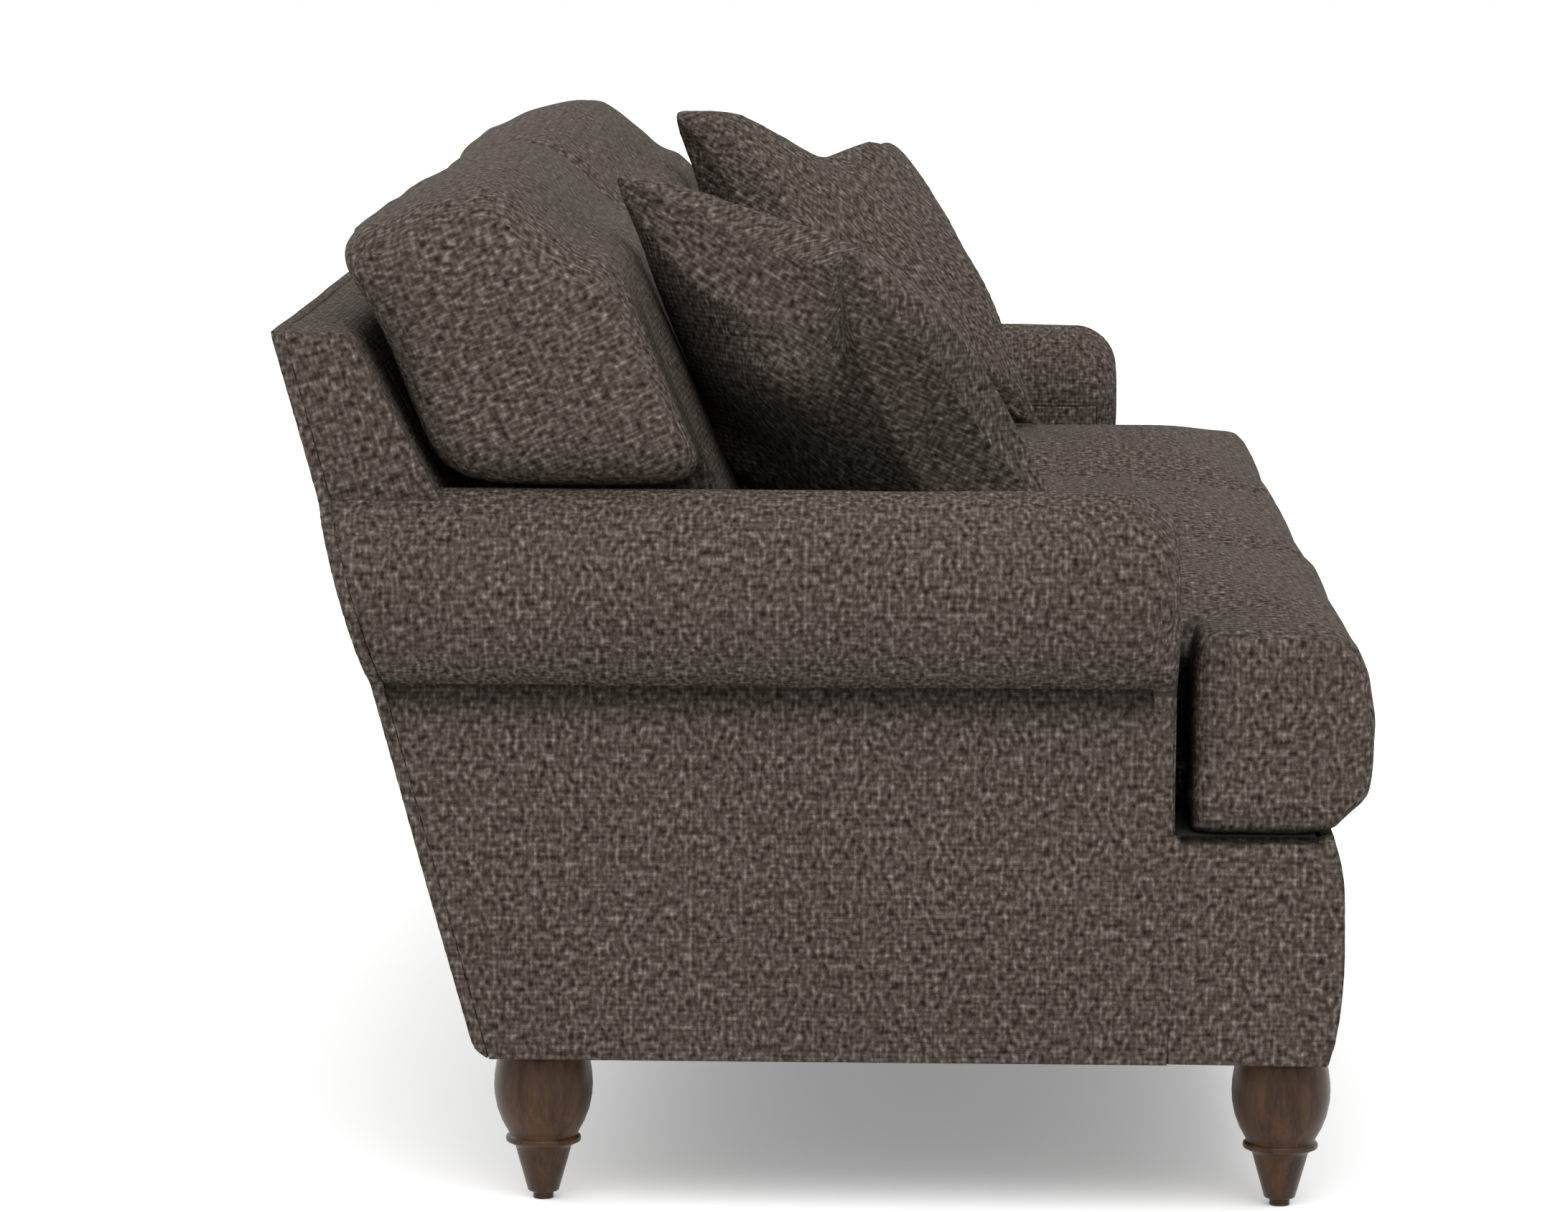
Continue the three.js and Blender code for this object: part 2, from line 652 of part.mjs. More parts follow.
function seatOutline(x0, x1, earSign) {
  const round = seatCornerRound;
  if (earSign === 0) {
    return cushionOutline([
      [x0, frontY, round], [x1, frontY, round], [x1, seatRearY, round], [x0, seatRearY, round],
    ], seatDrawIn, seatCrownReach);
  }
  const [bodyX, farX] = earSign < 0 ? [x0, x1] : [x1, x0];
  const earX = earSign * panelX;
  const earRearY = armFrontY - seatEarGap;
  return cushionOutline([
    [earX, frontY, round],
    [farX, frontY, round],
    [farX, seatRearY, round],
    [bodyX, seatRearY, round],
    [bodyX, earRearY, seatSideGap],
    [earX, earRearY, round],
  ], seatDrawIn, seatCrownReach);
}

const seats = [];
['left', 'middle', 'right'].forEach((place, i) => {
  const x0 = -innerArmX + seatSideGap + i * (seatWidth + seatSideGap);
  const x1 = x0 + seatWidth;
  const outline = seatOutline(x0, x1, i - 1);
  const centreY = THREE.MathUtils.lerp(frontY, armFrontY - seatEarGap, seatCentreShare);
  const centre = new THREE.Vector2((x0 + x1) / 2, centreY);
  const side = seatSideDegrees.map((degrees) => {
    const angle = THREE.MathUtils.degToRad(degrees);
    const rise = degrees < 0 ? seatLowRound : seatHighRound;
    const inset = () => seatEdgeRound * (1 - Math.cos(angle));
    return { inset, height: () => seatMiddle + rise * Math.sin(angle) };
  });
  const crown = [0, ...seatCrownShares].map((share) => ({
    inset: () => seatEdgeRound,
    share,
    height: (x, y) => Math.max(seatHeight(distanceToOutline(outline, x, y)), seatRim),
  }));
  const floor = { inset: () => seatEdgeRound, height: () => seatBottom };
  const geometry = stuffedCover(outline, centre, [floor, ...side, ...crown], seatBottom, seatTop);
  add(`seat_cushion_${place}`, geometry, tweed());
  seats.push(outline);
});

// Height of the seat under a point, or nothing where no seat cushion lies under it
function seatUnder(x, y) {
  for (const outline of seats) {
    const inside = outline.reduce((odd, { at }, i) => {
      const next = outline[(i + 1) % outline.length].at;
      const along = (y - at.y) / (next.y - at.y);
      const crosses = (at.y > y) !== (next.y > y) && x < at.x + (next.x - at.x) * along;
      return crosses ? !odd : odd;
    }, false);
    if (inside) return seatHeight(distanceToOutline(outline, x, y));
  }
  return -Infinity;
}

function worldPoints(mesh) {
  mesh.updateMatrixWorld(true);
  const position = mesh.geometry.attributes.position;
  return Array.from({ length: position.count }, (_, i) =>
    new THREE.Vector3().fromBufferAttribute(position, i).applyMatrix4(mesh.matrixWorld));
}

// Lowers a piece onto the seat cushions.
function restOnSeat(mesh) {
  const clear = Math.min(...worldPoints(mesh).map(({ x, y, z }) => z - seatUnder(x, y)));
  mesh.position.z -= clear - gap;
}

// Back cushions: sheared back to lie along the inside back, with an ear over the arm roll
const backCushionMiddle = (backCushionTop + backCushionBottom) / 2;
const backCushionHalf = backCushionThickness / 2;

function backCushionGeometry(sign) {
  const round = backCushionCorner;
  const topCorner = backCushionTop - backCushionArch;
  const innerX = sign * seatSideGap / 2;
  const bodyX = sign * (innerArmX - seatSideGap);
  const earX = sign * (panelX - backCushionSetIn);
  const earBottom = armHeight + backCushionEarGap;
  const outline = cushionOutline([
    [innerX, backCushionBottom, round / 2, backLowRounding],
    [bodyX, backCushionBottom, round / 2, backLowRounding],
    [bodyX, earBottom, seatSideGap, backEarRounding, ...(sign > 0 ? [0] : [])],
    [earX, earBottom, round / 2, backEarRounding, ...(sign > 0 ? [] : [0])],
    [earX, topCorner, round, backEarTopRounding, ...(sign > 0 ? [backCushionArch] : [])],
    [innerX, topCorner, round, backTopRounding, ...(sign > 0 ? [] : [backCushionArch])],
  ], backCushionDrawIn, seatCrownReach / 2);
  const centre = new THREE.Vector2((innerX + bodyX) / 2, (earBottom + topCorner) / 2);
  const face = (direction, crest, place) => {
    const edge = backEdgeDegrees.map((degrees) => {
      const angle = THREE.MathUtils.degToRad(degrees);
      const reach = ({ rounding }) => rounding[place + 1] * (1 - Math.sin(angle));
      return {
        inset: ({ rounding }) => rounding[place] * (1 - Math.cos(angle)),
        height: (x, z, rim) => direction * (backCushionHalf - reach(rim)),
      };
    });
    const crown = [0, ...backCrownShares].map((share) => ({
      inset: ({ rounding }) => rounding[place],
      share,
      height: () => direction * (backCushionHalf + crest * (1 - (1 - share) ** 2)),
    }));
    return [...edge, ...crown];
  };
  const rows = [...face(-1, 0, behind).reverse(), ...face(1, backCushionCrown, inFront)];
  const crest = backCushionHalf + backCushionCrown;
  const geometry = stuffedCover(outline, centre, rows, -backCushionHalf, crest);
  // Outline in X and Z, thickness along Y, leaning back as it rises.
  const lean = new THREE.Matrix4().set(
    1, 0, 0, 0,
    0, backCushionLeanShare, -1, -backCushionLeanShare * backCushionMiddle,
    0, 1, 0, 0,
    0, 0, 0, 1,
  );
  return geometry.applyMatrix4(lean);
}

const liftNormal = new THREE.Vector3(0, -1, liftRunShare).normalize();
let liftPlane = -Infinity; // how far forward a back cushion reaches as it is lifted
for (const [side, sign] of sides) {
  const cushion = add(`back_cushion_${side}`, backCushionGeometry(sign), tweed());
  for (let pass = 0; pass < settlingPasses; pass += 1) {
    const low = worldPoints(cushion).filter(({ z }) => z < backHeight);
    cushion.position.y += Math.min(...low.map(({ y, z }) => insideAt(z) - y)) - backCushionBackGap;
    restOnSeat(cushion);
  }
  liftPlane = Math.max(liftPlane, ...worldPoints(cushion).map((point) => point.dot(liftNormal)));
}

// Throw pillows: square knife-edge covers that lean into the corners of the back and the arms
function pillowGeometry() {
  const half = pillowSide / 2;
  const corners = [[-1, -1], [1, -1], [1, 1], [-1, 1]].map(([a, b]) => [a * half, b * half, pillowCorner]);
  const outline = cushionOutline(corners, pillowDrawIn, pillowSide / pillowSideSteps);
  const fullness = (a, b) => {
    const [u, v] = [Math.min(Math.abs(a) / half, 1), Math.min(Math.abs(b) / half, 1)];
    return ((1 - u ** 2.2) * (1 - v ** 2.2)) ** 0.55;
  };
  const face = (direction, crown, sag) => [
    { inset: () => 0, height: () => 0 },
    { inset: () => pillowSeamWidth, height: () => direction * pillowSeam },
    ...pillowCrownShares.map((share) => ({
      inset: () => pillowSeamWidth,
      share,
      height: (a, b) => direction * (pillowSeam + crown * fullness(a, b) * (1 - sag * b / half)),
    })),
  ];
  const behindRows = face(-1, pillowBackCrown, pillowSagShare).reverse();
  const rows = [...behindRows, ...face(1, pillowFrontCrown, 0).slice(1)];
  const crests = [-pillowSeam - pillowBackCrown, pillowSeam + pillowFrontCrown];
  const geometry = stuffedCover(outline, new THREE.Vector2(0, 0), rows, ...crests);
  return geometry.rotateX(Math.PI / 2);
}

for (const [i, [side, sign]] of sides.entries()) {
  const pillow = add(`throw_pillow_${side}`, pillowGeometry(), tweed());
  const angles = [pillowLeanDegrees[i], pillowTurnDegrees, pillowRollDegrees[i]];
  const [lean, turn, roll] = angles.map(THREE.MathUtils.degToRad);
  pillow.rotation.set(-lean, sign * roll, -sign * turn, 'ZXY');
  pillow.position.set(sign * (innerArmX - pillowFromArm), 0, armHeight);
  for (let pass = 0; pass < settlingPasses; pass += 1) {
    const room = Math.min(...worldPoints(pillow).map((point) => point.dot(liftNormal))) - liftPlane - gap;
    pillow.position.y += room / -liftNormal.y;
    restOnSeat(pillow);
  }
}

export default sofa;
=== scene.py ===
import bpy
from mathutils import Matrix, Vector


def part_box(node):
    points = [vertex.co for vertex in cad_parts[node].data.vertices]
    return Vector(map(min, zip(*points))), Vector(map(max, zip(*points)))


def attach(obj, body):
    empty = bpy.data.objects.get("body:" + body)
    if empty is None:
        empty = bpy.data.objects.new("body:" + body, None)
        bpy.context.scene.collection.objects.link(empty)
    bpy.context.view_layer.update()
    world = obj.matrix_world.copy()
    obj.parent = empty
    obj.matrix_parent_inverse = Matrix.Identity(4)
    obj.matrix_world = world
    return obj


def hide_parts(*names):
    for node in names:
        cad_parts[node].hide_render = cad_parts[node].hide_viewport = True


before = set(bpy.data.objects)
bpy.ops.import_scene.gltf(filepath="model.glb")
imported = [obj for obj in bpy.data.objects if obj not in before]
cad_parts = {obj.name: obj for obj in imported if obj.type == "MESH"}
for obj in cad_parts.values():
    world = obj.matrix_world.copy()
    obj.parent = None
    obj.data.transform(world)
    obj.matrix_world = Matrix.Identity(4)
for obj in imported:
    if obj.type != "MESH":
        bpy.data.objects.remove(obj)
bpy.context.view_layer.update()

import math

import bpy
import numpy as np
from mathutils import Matrix, Vector, noise

# An upholstered sofa with roll arms. Lengths are in metres, +Z is up, the front faces -Y and left is -X.
sides = {"left": -1, "right": 1}
smoothBelow = 40  # degrees between faces that still shade as one
weldReach = 0.00002


def deselectAll():
    for each in bpy.context.selected_objects:
        each.select_set(False)


def makeActive(obj):
    deselectAll()
    obj.select_set(True)
    bpy.context.view_layer.objects.active = obj


def applyModifier(obj, kind, **settings):
    makeActive(obj)
    modifier = obj.modifiers.new(kind.title(), kind)
    for key, value in settings.items():
        setattr(modifier, key, value)
    bpy.ops.object.modifier_apply(modifier=modifier.name)


# Nodes of a shader tree: a socket given as a value is linked, anything else is set
def put(tree, kind, sockets=None, **settings):
    node = tree.nodes.new(kind)
    for key, value in settings.items():
        setattr(node, key, value)
    for key, value in (sockets or {}).items():
        if isinstance(value, bpy.types.NodeSocket):
            tree.links.new(value, node.inputs[key])
        else:
            node.inputs[key].default_value = value
    return node


def calc(tree, operation, first, second=0.0, third=0.0):
    return put(tree, "ShaderNodeMath", {0: first, 1: second, 2: third}, operation=operation).outputs[0]


def vectorCalc(tree, operation, first, second):
    return put(tree, "ShaderNodeVectorMath", {0: first, 1: second}, operation=operation).outputs[0]


def speckle(tree, place, scale, detail, **more):
    return put(tree, "ShaderNodeTexNoise", {"Vector": place, "Scale": scale, "Detail": detail, **more})


def ramp(tree, factor, stops):
    node = put(tree, "ShaderNodeValToRGB", {"Fac": factor})
    elements = node.color_ramp.elements
    while len(elements) < len(stops):
        elements.new(0.5)
    for element, (place, colour) in zip(elements, stops):
        element.position = place
        element.color = (*colour, 1)
    return node.outputs["Color"]


# Camera and stage
camera = {
    "place": (-6.876692, -0.084709, 1.271100),
    "yaw": 1.17706, "pitch": 6.90283, "roll": 0.31039,  # degrees
    "lens": 147.785, "sensor": 36,  # mm
    "farthest": 60,
}


def placeCamera():
    yaw, pitch, roll = (math.radians(camera[key]) for key in ("yaw", "pitch", "roll"))
    forward = Vector((math.cos(yaw) * math.cos(pitch), math.sin(yaw) * math.cos(pitch), -math.sin(pitch)))
    right = forward.cross(Vector((0, 0, 1))).normalized()
    up = right.cross(forward)
    sideways = right * math.cos(roll) + up * math.sin(roll)
    upward = up * math.cos(roll) - right * math.sin(roll)
    bpy.ops.object.camera_add()
    eye = bpy.context.object
    eye.data.lens = camera["lens"]
    eye.data.sensor_fit = "HORIZONTAL"
    eye.data.sensor_width = camera["sensor"]
    eye.data.clip_end = camera["farthest"]
    turned = Matrix((sideways, upward, -forward)).transposed().to_4x4()
    eye.matrix_world = Matrix.Translation(camera["place"]) @ turned
    bpy.context.scene.camera = eye


studio = {
    "worldStrength": 0.92,
    "aim": (0, 0, 0.4),  # where both lamps point
    "key": {"from": (-3.4, -0.5, 5.8), "spread": 50, "strength": 1.35},  # spread in degrees
    "rear": {"from": (2.5, 4.5, 3.2), "width": 3.5, "power": 60},
    "floorWidth": 60,
    "floorTone": 0.80,  # for the light that it sends back up
    "floorSeen": 1.0,  # for the camera
    "floorGlow": 0.22,  # share of plain white that the camera sees on the floor
}


# 1 for a ray that shows something plainly, 0 for one that only carries light
def plainRays(tree):
    path = put(tree, "ShaderNodeLightPath")
    first = calc(tree, "MAXIMUM", path.outputs["Is Camera Ray"], path.outputs["Is Glossy Ray"])
    return calc(tree, "MAXIMUM", first, path.outputs["Is Transmission Ray"])


def lightStudio():
    world = bpy.data.worlds.new("paleStudio")
    bpy.context.scene.world = world
    world.use_nodes = True
    tree = world.node_tree
    tree.nodes.clear()
    lit, seen = (put(tree, "ShaderNodeBackground", {"Color": (1, 1, 1, 1), "Strength": strength}).outputs[0]
                 for strength in (studio["worldStrength"], 1))
    mixed = put(tree, "ShaderNodeMixShader", {0: plainRays(tree), 1: lit, 2: seen}).outputs[0]
    put(tree, "ShaderNodeOutputWorld", {"Surface": mixed})
    for name, kind in (("key", "SUN"), ("rear", "AREA")):
        place = Vector(studio[name]["from"])
        bpy.ops.object.light_add(type=kind, location=place)
        lamp = bpy.context.object
        lamp.name = name + "Lamp"
        lamp.rotation_euler = (Vector(studio["aim"]) - place).to_track_quat("-Z", "Y").to_euler()
        if kind == "SUN":
            lamp.data.angle = math.radians(studio[name]["spread"])
            lamp.data.energy = studio[name]["strength"]
        else:
            lamp.data.size = studio[name]["width"]
            lamp.data.energy = studio[name]["power"]
    bpy.context.scene.view_settings.view_transform = "Standard"


def layFloor():
    bpy.ops.mesh.primitive_plane_add(size=studio["floorWidth"], location=(0, 0, 0))
    floor = bpy.context.object
    floor.name = "floor"
    finish = bpy.data.materials.new("paleFloor")
    finish.use_nodes = True
    tree = finish.node_tree
    tree.nodes.clear()
    matt, white = (put(tree, "ShaderNodeBsdfDiffuse", {"Color": (studio[tone],) * 3 + (1,)}).outputs[0]
                   for tone in ("floorTone", "floorSeen"))
    glow = put(tree, "ShaderNodeEmission", {"Strength": studio["floorGlow"]}).outputs[0]
    bright = put(tree, "ShaderNodeAddShader", {0: white, 1: glow}).outputs[0]
    mixed = put(tree, "ShaderNodeMixShader", {0: plainRays(tree), 1: matt, 2: bright}).outputs[0]
    put(tree, "ShaderNodeOutputMaterial", {"Surface": mixed})
    floor.data.materials.append(finish)


placeCamera()
lightStudio()
layFloor()
print("camera, lamps and floor are in place")


# Finishes
clothRoughness = 0.95


def newFinish(name, roughness):
    finish = bpy.data.materials.new(name)
    finish.use_nodes = True
    tree = finish.node_tree
    shader = next(node for node in tree.nodes if node.type == "BSDF_PRINCIPLED")
    shader.inputs["Roughness"].default_value = roughness
    solid = put(tree, "ShaderNodeTexCoord").outputs["Object"]
    return finish, tree, shader, solid


def addBump(tree, shader, height, strength, distance):
    bump = put(tree, "ShaderNodeBump", {"Strength": strength, "Distance": distance, "Height": height})
    tree.links.new(bump.outputs[0], shader.inputs["Normal"])


tweed = {
    "dash": (0.0042, 0.0084),  # width and length of a fleck
    "dashDetail": 0.9, "dashRoughness": 0.40,
    "shares": (0.75, 0.445),  # weight of the flecks along v and of those along u
    "layers": (3.0, 47.0),  # where each of the two is cut out of the noise
    "yarn": (0.0042, 0.0046),  # pitch of the relief
    "wobble": 0.0008, "wobbleScale": 110.0,
    "fibre": {"scale": 1100.0, "detail": 2.0, "share": 0.07, "rise": 0.35},
    "cloud": {"scale": 9.0, "detail": 3.0, "share": 0.06},
    "stops": [
        (0.26, (0.021, 0.0152, 0.0105)),
        (0.42, (0.060, 0.0465, 0.0360)),
        (0.52, (0.092, 0.0752, 0.0620)),
        (0.64, (0.152, 0.1300, 0.1100)),
        (0.76, (0.245, 0.2170, 0.1880)),
    ],
    "valley": 0.80,  # what is left of the colour between the yarns
    "relief": 0.0010, "reliefStrength": 0.6, "toneRise": 1.2,
    "seamWidth": 0.0016, "seamShare": 0.45, "seamRise": 1.6,
    "creaseShadeDepth": 0.90,  # how much darker the painted shade makes the cloth deep in a crevice or slot
    "gloss": 0.06,
}


def tweedFinish():
    finish, tree, shader, solid = newFinish("chenilleTweed", clothRoughness)
    shader.inputs["Specular IOR Level"].default_value = tweed["gloss"]
    flat = put(tree, "ShaderNodeUVMap", uv_map="weave").outputs[0]
    drift = speckle(tree, flat, tweed["wobbleScale"], 1.0).outputs["Color"]
    drift = vectorCalc(tree, "SUBTRACT", drift, (0.5, 0.5, 0.5))
    drift = put(tree, "ShaderNodeVectorMath", {0: drift, "Scale": tweed["wobble"]}, operation="SCALE").outputs[0]
    moved = vectorCalc(tree, "ADD", flat, drift)
    wide, long = tweed["dash"]
    tone = 0.5
    for size, layer, share in zip(((wide, long, 1), (long, wide, 1)), tweed["layers"], tweed["shares"]):
        spot = vectorCalc(tree, "ADD", vectorCalc(tree, "DIVIDE", moved, size), (0, 0, layer))
        dashes = speckle(tree, spot, 1.0, tweed["dashDetail"], Roughness=tweed["dashRoughness"]).outputs["Fac"]
        tone = calc(tree, "MULTIPLY_ADD", calc(tree, "SUBTRACT", dashes, 0.5), share, tone)
    grains = {name: speckle(tree, solid, tweed[name]["scale"], tweed[name]["detail"]).outputs["Fac"]
              for name in ("fibre", "cloud")}
    for name, spots in grains.items():
        tone = calc(tree, "MULTIPLY_ADD", calc(tree, "SUBTRACT", spots, 0.5), tweed[name]["share"], tone)

    grid = vectorCalc(tree, "DIVIDE", moved, (*tweed["yarn"], 1))
    within = put(tree, "ShaderNodeVectorMath", {0: grid}, operation="FRACTION").outputs[0]
    inside = put(tree, "ShaderNodeSeparateXYZ", {0: within})
    arches = [calc(tree, "SINE", calc(tree, "MULTIPLY", inside.outputs[k], math.pi)) for k in (0, 1)]
    height = calc(tree, "SQRT", calc(tree, "MULTIPLY", arches[0], arches[1]))

    seam, creaseShade = (put(tree, "ShaderNodeAttribute", attribute_name=name).outputs["Fac"] for name in ("seam", "creaseShade"))
    groove = put(tree, "ShaderNodeMapRange", {
        "Value": calc(tree, "ABSOLUTE", seam), 1: 0.0, 2: tweed["seamWidth"] * 2, 3: 0.0, 4: 1.0},
        interpolation_type="SMOOTHSTEP").outputs[0]
    shade = calc(tree, "MULTIPLY_ADD", height, 1 - tweed["valley"], tweed["valley"])
    # Painted shade: the colour is darkened where the cloth lies in a crevice, a slot or under an overhang
    for value, share, rest in ((groove, tweed["seamShare"], 1 - tweed["seamShare"]), (creaseShade, -tweed["creaseShadeDepth"], 1.0)):
        shade = calc(tree, "MULTIPLY", shade, calc(tree, "MULTIPLY_ADD", value, share, rest))
    grey = put(tree, "ShaderNodeCombineXYZ", {0: shade, 1: shade, 2: shade}).outputs[0]
    tree.links.new(vectorCalc(tree, "MULTIPLY", ramp(tree, tone, tweed["stops"]), grey), shader.inputs["Base Color"])

    relief = calc(tree, "MULTIPLY_ADD", grains["fibre"], tweed["fibre"]["rise"], height)
    relief = calc(tree, "MULTIPLY_ADD", tone, tweed["toneRise"], relief)
    relief = calc(tree, "MULTIPLY_ADD", groove, tweed["seamRise"], relief)
    addBump(tree, shader, relief, tweed["reliefStrength"], tweed["relief"])
    return finish


cloths = {
    "liningCloth": {
        "ways": ("X", "Y"), "scale": 160.0, "waver": 1.2, "cross": "MAXIMUM", "haze": (25.0, 4.0), "hazeShare": 0.6,
        "stops": [(0.2, (0.005, 0.0045, 0.004)), (0.9, (0.018, 0.016, 0.014))], "bump": (0.5, 0.0005),
    },
    "juteWebbing": {
        "ways": ("X", "Z"), "scale": 90.0, "waver": 0.8, "cross": "MULTIPLY",
        "stops": [(0.0, (0.12, 0.085, 0.045)), (0.8, (0.36, 0.28, 0.165))], "bump": (0.6, 0.0008),
    },
}


def clothFinish(name):
    cloth = cloths[name]
    finish, tree, shader, solid = newFinish(name, clothRoughness)
    waves = [put(tree, "ShaderNodeTexWave", {"Vector": solid, "Scale": cloth["scale"], "Distortion": cloth["waver"]},
                 bands_direction=way).outputs["Fac"] for way in cloth["ways"]]
    weave = calc(tree, cloth["cross"], waves[0], waves[1])
    tone = weave
    if "haze" in cloth:
        haze = calc(tree, "MULTIPLY", speckle(tree, solid, *cloth["haze"]).outputs["Fac"], cloth["hazeShare"])
        tone = calc(tree, "MULTIPLY_ADD", weave, 1 - cloth["hazeShare"], haze)
    tree.links.new(ramp(tree, tone, cloth["stops"]), shader.inputs["Base Color"])
    addBump(tree, shader, weave, *cloth["bump"])
    return finish


woods = {
    "sawnHardwood": {
        "dark": (0.30, 0.18, 0.085), "light": (0.52, 0.35, 0.19), "roughness": 0.65, "grain": (60, 6, 60),
        "gloss": 0.5, "coat": 0.0,
    },
    "satinWalnut": {
        "dark": (0.021, 0.0082, 0.0022), "light": (0.072, 0.0325, 0.0110), "roughness": 0.36, "grain": (70, 70, 9),
        "gloss": 0.24, "coat": 0.03,
    },
}
woodGrain = {
    "rings": (1.0, 5.0), "ringRoughness": 0.62, "ringTwist": 0.6,
    "pores": (7.0, 3.0), "poreShare": 0.35, "poreSpread": 0.18,  # how far the pores move tone and roughness
    "darkAt": 0.32, "lightAt": 0.68, "bump": (0.25, 0.0003), "coatRoughness": 0.22,
}


def woodFinish(name):
    wood = woods[name]
    finish, tree, shader, solid = newFinish(name, wood["roughness"])
    long = put(tree, "ShaderNodeMapping", {"Vector": solid, "Scale": wood["grain"]}).outputs[0]
    rings = speckle(tree, long, *woodGrain["rings"], Roughness=woodGrain["ringRoughness"],
                    Distortion=woodGrain["ringTwist"]).outputs["Fac"]
    pores = speckle(tree, long, *woodGrain["pores"]).outputs["Fac"]
    mixed = calc(tree, "MULTIPLY_ADD", calc(tree, "SUBTRACT", pores, 0.5), woodGrain["poreShare"], rings)
    stops = [(woodGrain["darkAt"], wood["dark"]), (woodGrain["lightAt"], wood["light"])]
    tree.links.new(ramp(tree, mixed, stops), shader.inputs["Base Color"])
    addBump(tree, shader, pores, *woodGrain["bump"])
    spread = woodGrain["poreSpread"]
    roughness = calc(tree, "MULTIPLY_ADD", pores, spread, wood["roughness"] - spread / 2)
    tree.links.new(roughness, shader.inputs["Roughness"])
    shader.inputs["Specular IOR Level"].default_value = wood["gloss"]
    shader.inputs["Coat Weight"].default_value = wood["coat"]
    shader.inputs["Coat Roughness"].default_value = woodGrain["coatRoughness"]
    return finish


steel = {
    "haze": (220.0, 4.0), "stops": [(0.3, (0.13, 0.13, 0.135)), (0.7, (0.24, 0.24, 0.25))],
    "roughness": (0.25, 0.3),  # least, and how far the haze raises it
}


def steelFinish():
    least, spread = steel["roughness"]
    finish, tree, shader, solid = newFinish("drawnSteel", least)
    haze = speckle(tree, solid, *steel["haze"]).outputs["Fac"]
    tree.links.new(ramp(tree, haze, steel["stops"]), shader.inputs["Base Color"])
    tree.links.new(calc(tree, "MULTIPLY_ADD", haze, spread, least), shader.inputs["Roughness"])
    shader.inputs["Metallic"].default_value = 1
    return finish


finishes = {
    "tweed": tweedFinish(),
    "lining": clothFinish("liningCloth"),
    "hardwood": woodFinish("sawnHardwood"),
    "walnut": woodFinish("satinWalnut"),
    "steel": steelFinish(),
    "jute": clothFinish("juteWebbing"),
}
# CAD solids that stay as they are and only get a finish
plainNodes = {
    "hardwood": ("rail", "stretcher", "corner_block", "arm_board", "arm_front_post", "back_post", "upright"),
    "steel": ("seat_spring", "hanger_bolt"),
    "jute": ("back_webbing",),
}
for finishName, words in plainNodes.items():
    for name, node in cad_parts.items():
        if any(word in name for word in words):
            node.data.materials.clear()
            node.data.materials.append(finishes[finishName])
print("finishes are mixed")


# A loose copy of a CAD solid, to be made into its cover
def copyOf(node):
    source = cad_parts[node]
    piece = source.copy()
    piece.data = source.data.copy()
    piece.name = node + "_cover"
    piece.parent = None
    for key in [key for key in piece.keys() if key.startswith("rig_")]:
        del piece[key]
    bpy.context.scene.collection.objects.link(piece)
    return piece


# One even skin over one or more solids
def softCopy(voxel, *nodes):
    copies = [copyOf(node) for node in nodes]
    makeActive(copies[0])
    for piece in copies[1:]:
        piece.select_set(True)
    if len(copies) > 1:
        bpy.ops.object.join()
    piece = bpy.context.object
    bpy.ops.object.mode_set(mode="EDIT")
    bpy.ops.mesh.select_all(action="SELECT")
    bpy.ops.mesh.remove_doubles(threshold=weldReach)
    bpy.ops.object.mode_set(mode="OBJECT")
    piece.data.materials.clear()
    piece.data.remesh_voxel_size = voxel
    piece.data.remesh_voxel_adaptivity = 0
    bpy.ops.object.voxel_remesh()
    return piece


def points(piece):
    flat = np.empty(len(piece.data.vertices) * 3)
    piece.data.vertices.foreach_get("co", flat)
    return flat.reshape(-1, 3)


def movePoints(piece, places):
    piece.data.vertices.foreach_set("co", places.ravel())
    piece.data.update()


def vertexNormals(piece):
    flat = np.empty(len(piece.data.vertices) * 3)
    piece.data.vertex_normals.foreach_get("vector", flat)
    return flat.reshape(-1, 3)


# Goes smoothly from 0 at low to 1 at high, also where low is the larger number
def ease(low, high, value):
    share = np.clip((value - low) / (high - low), 0, 1)
    return share * share * (3 - 2 * share)


# How far a quarter circle lies inside its corner, at a given depth behind it
def roundInset(roundness, depth):
    return roundness - np.sqrt(np.maximum(roundness ** 2 - np.clip(roundness - depth, 0, None) ** 2, 0))


# Flat pieces with narrow round edges; angles in degrees
crisp = {"cornerRound": 0.013, "cornerSteps": 6, "edgeSteps": 3, "edgeAngle": 35, "flatAngle": 0.5}


# Rounds the edges whose two ends both pass the test
def roundEdges(piece, chosen):
    mesh = piece.data
    bpy.ops.object.mode_set(mode="EDIT")
    bpy.ops.mesh.select_all(action="DESELECT")
    bpy.ops.mesh.select_mode(type="EDGE")
    bpy.ops.object.mode_set(mode="OBJECT")
    for edge in mesh.edges:
        edge.select = all(chosen(mesh.vertices[k].co) for k in edge.vertices)
    bpy.ops.object.mode_set(mode="EDIT")
    bpy.ops.mesh.bevel(offset=crisp["cornerRound"], segments=crisp["cornerSteps"], clamp_overlap=True)
    bpy.ops.object.mode_set(mode="OBJECT")


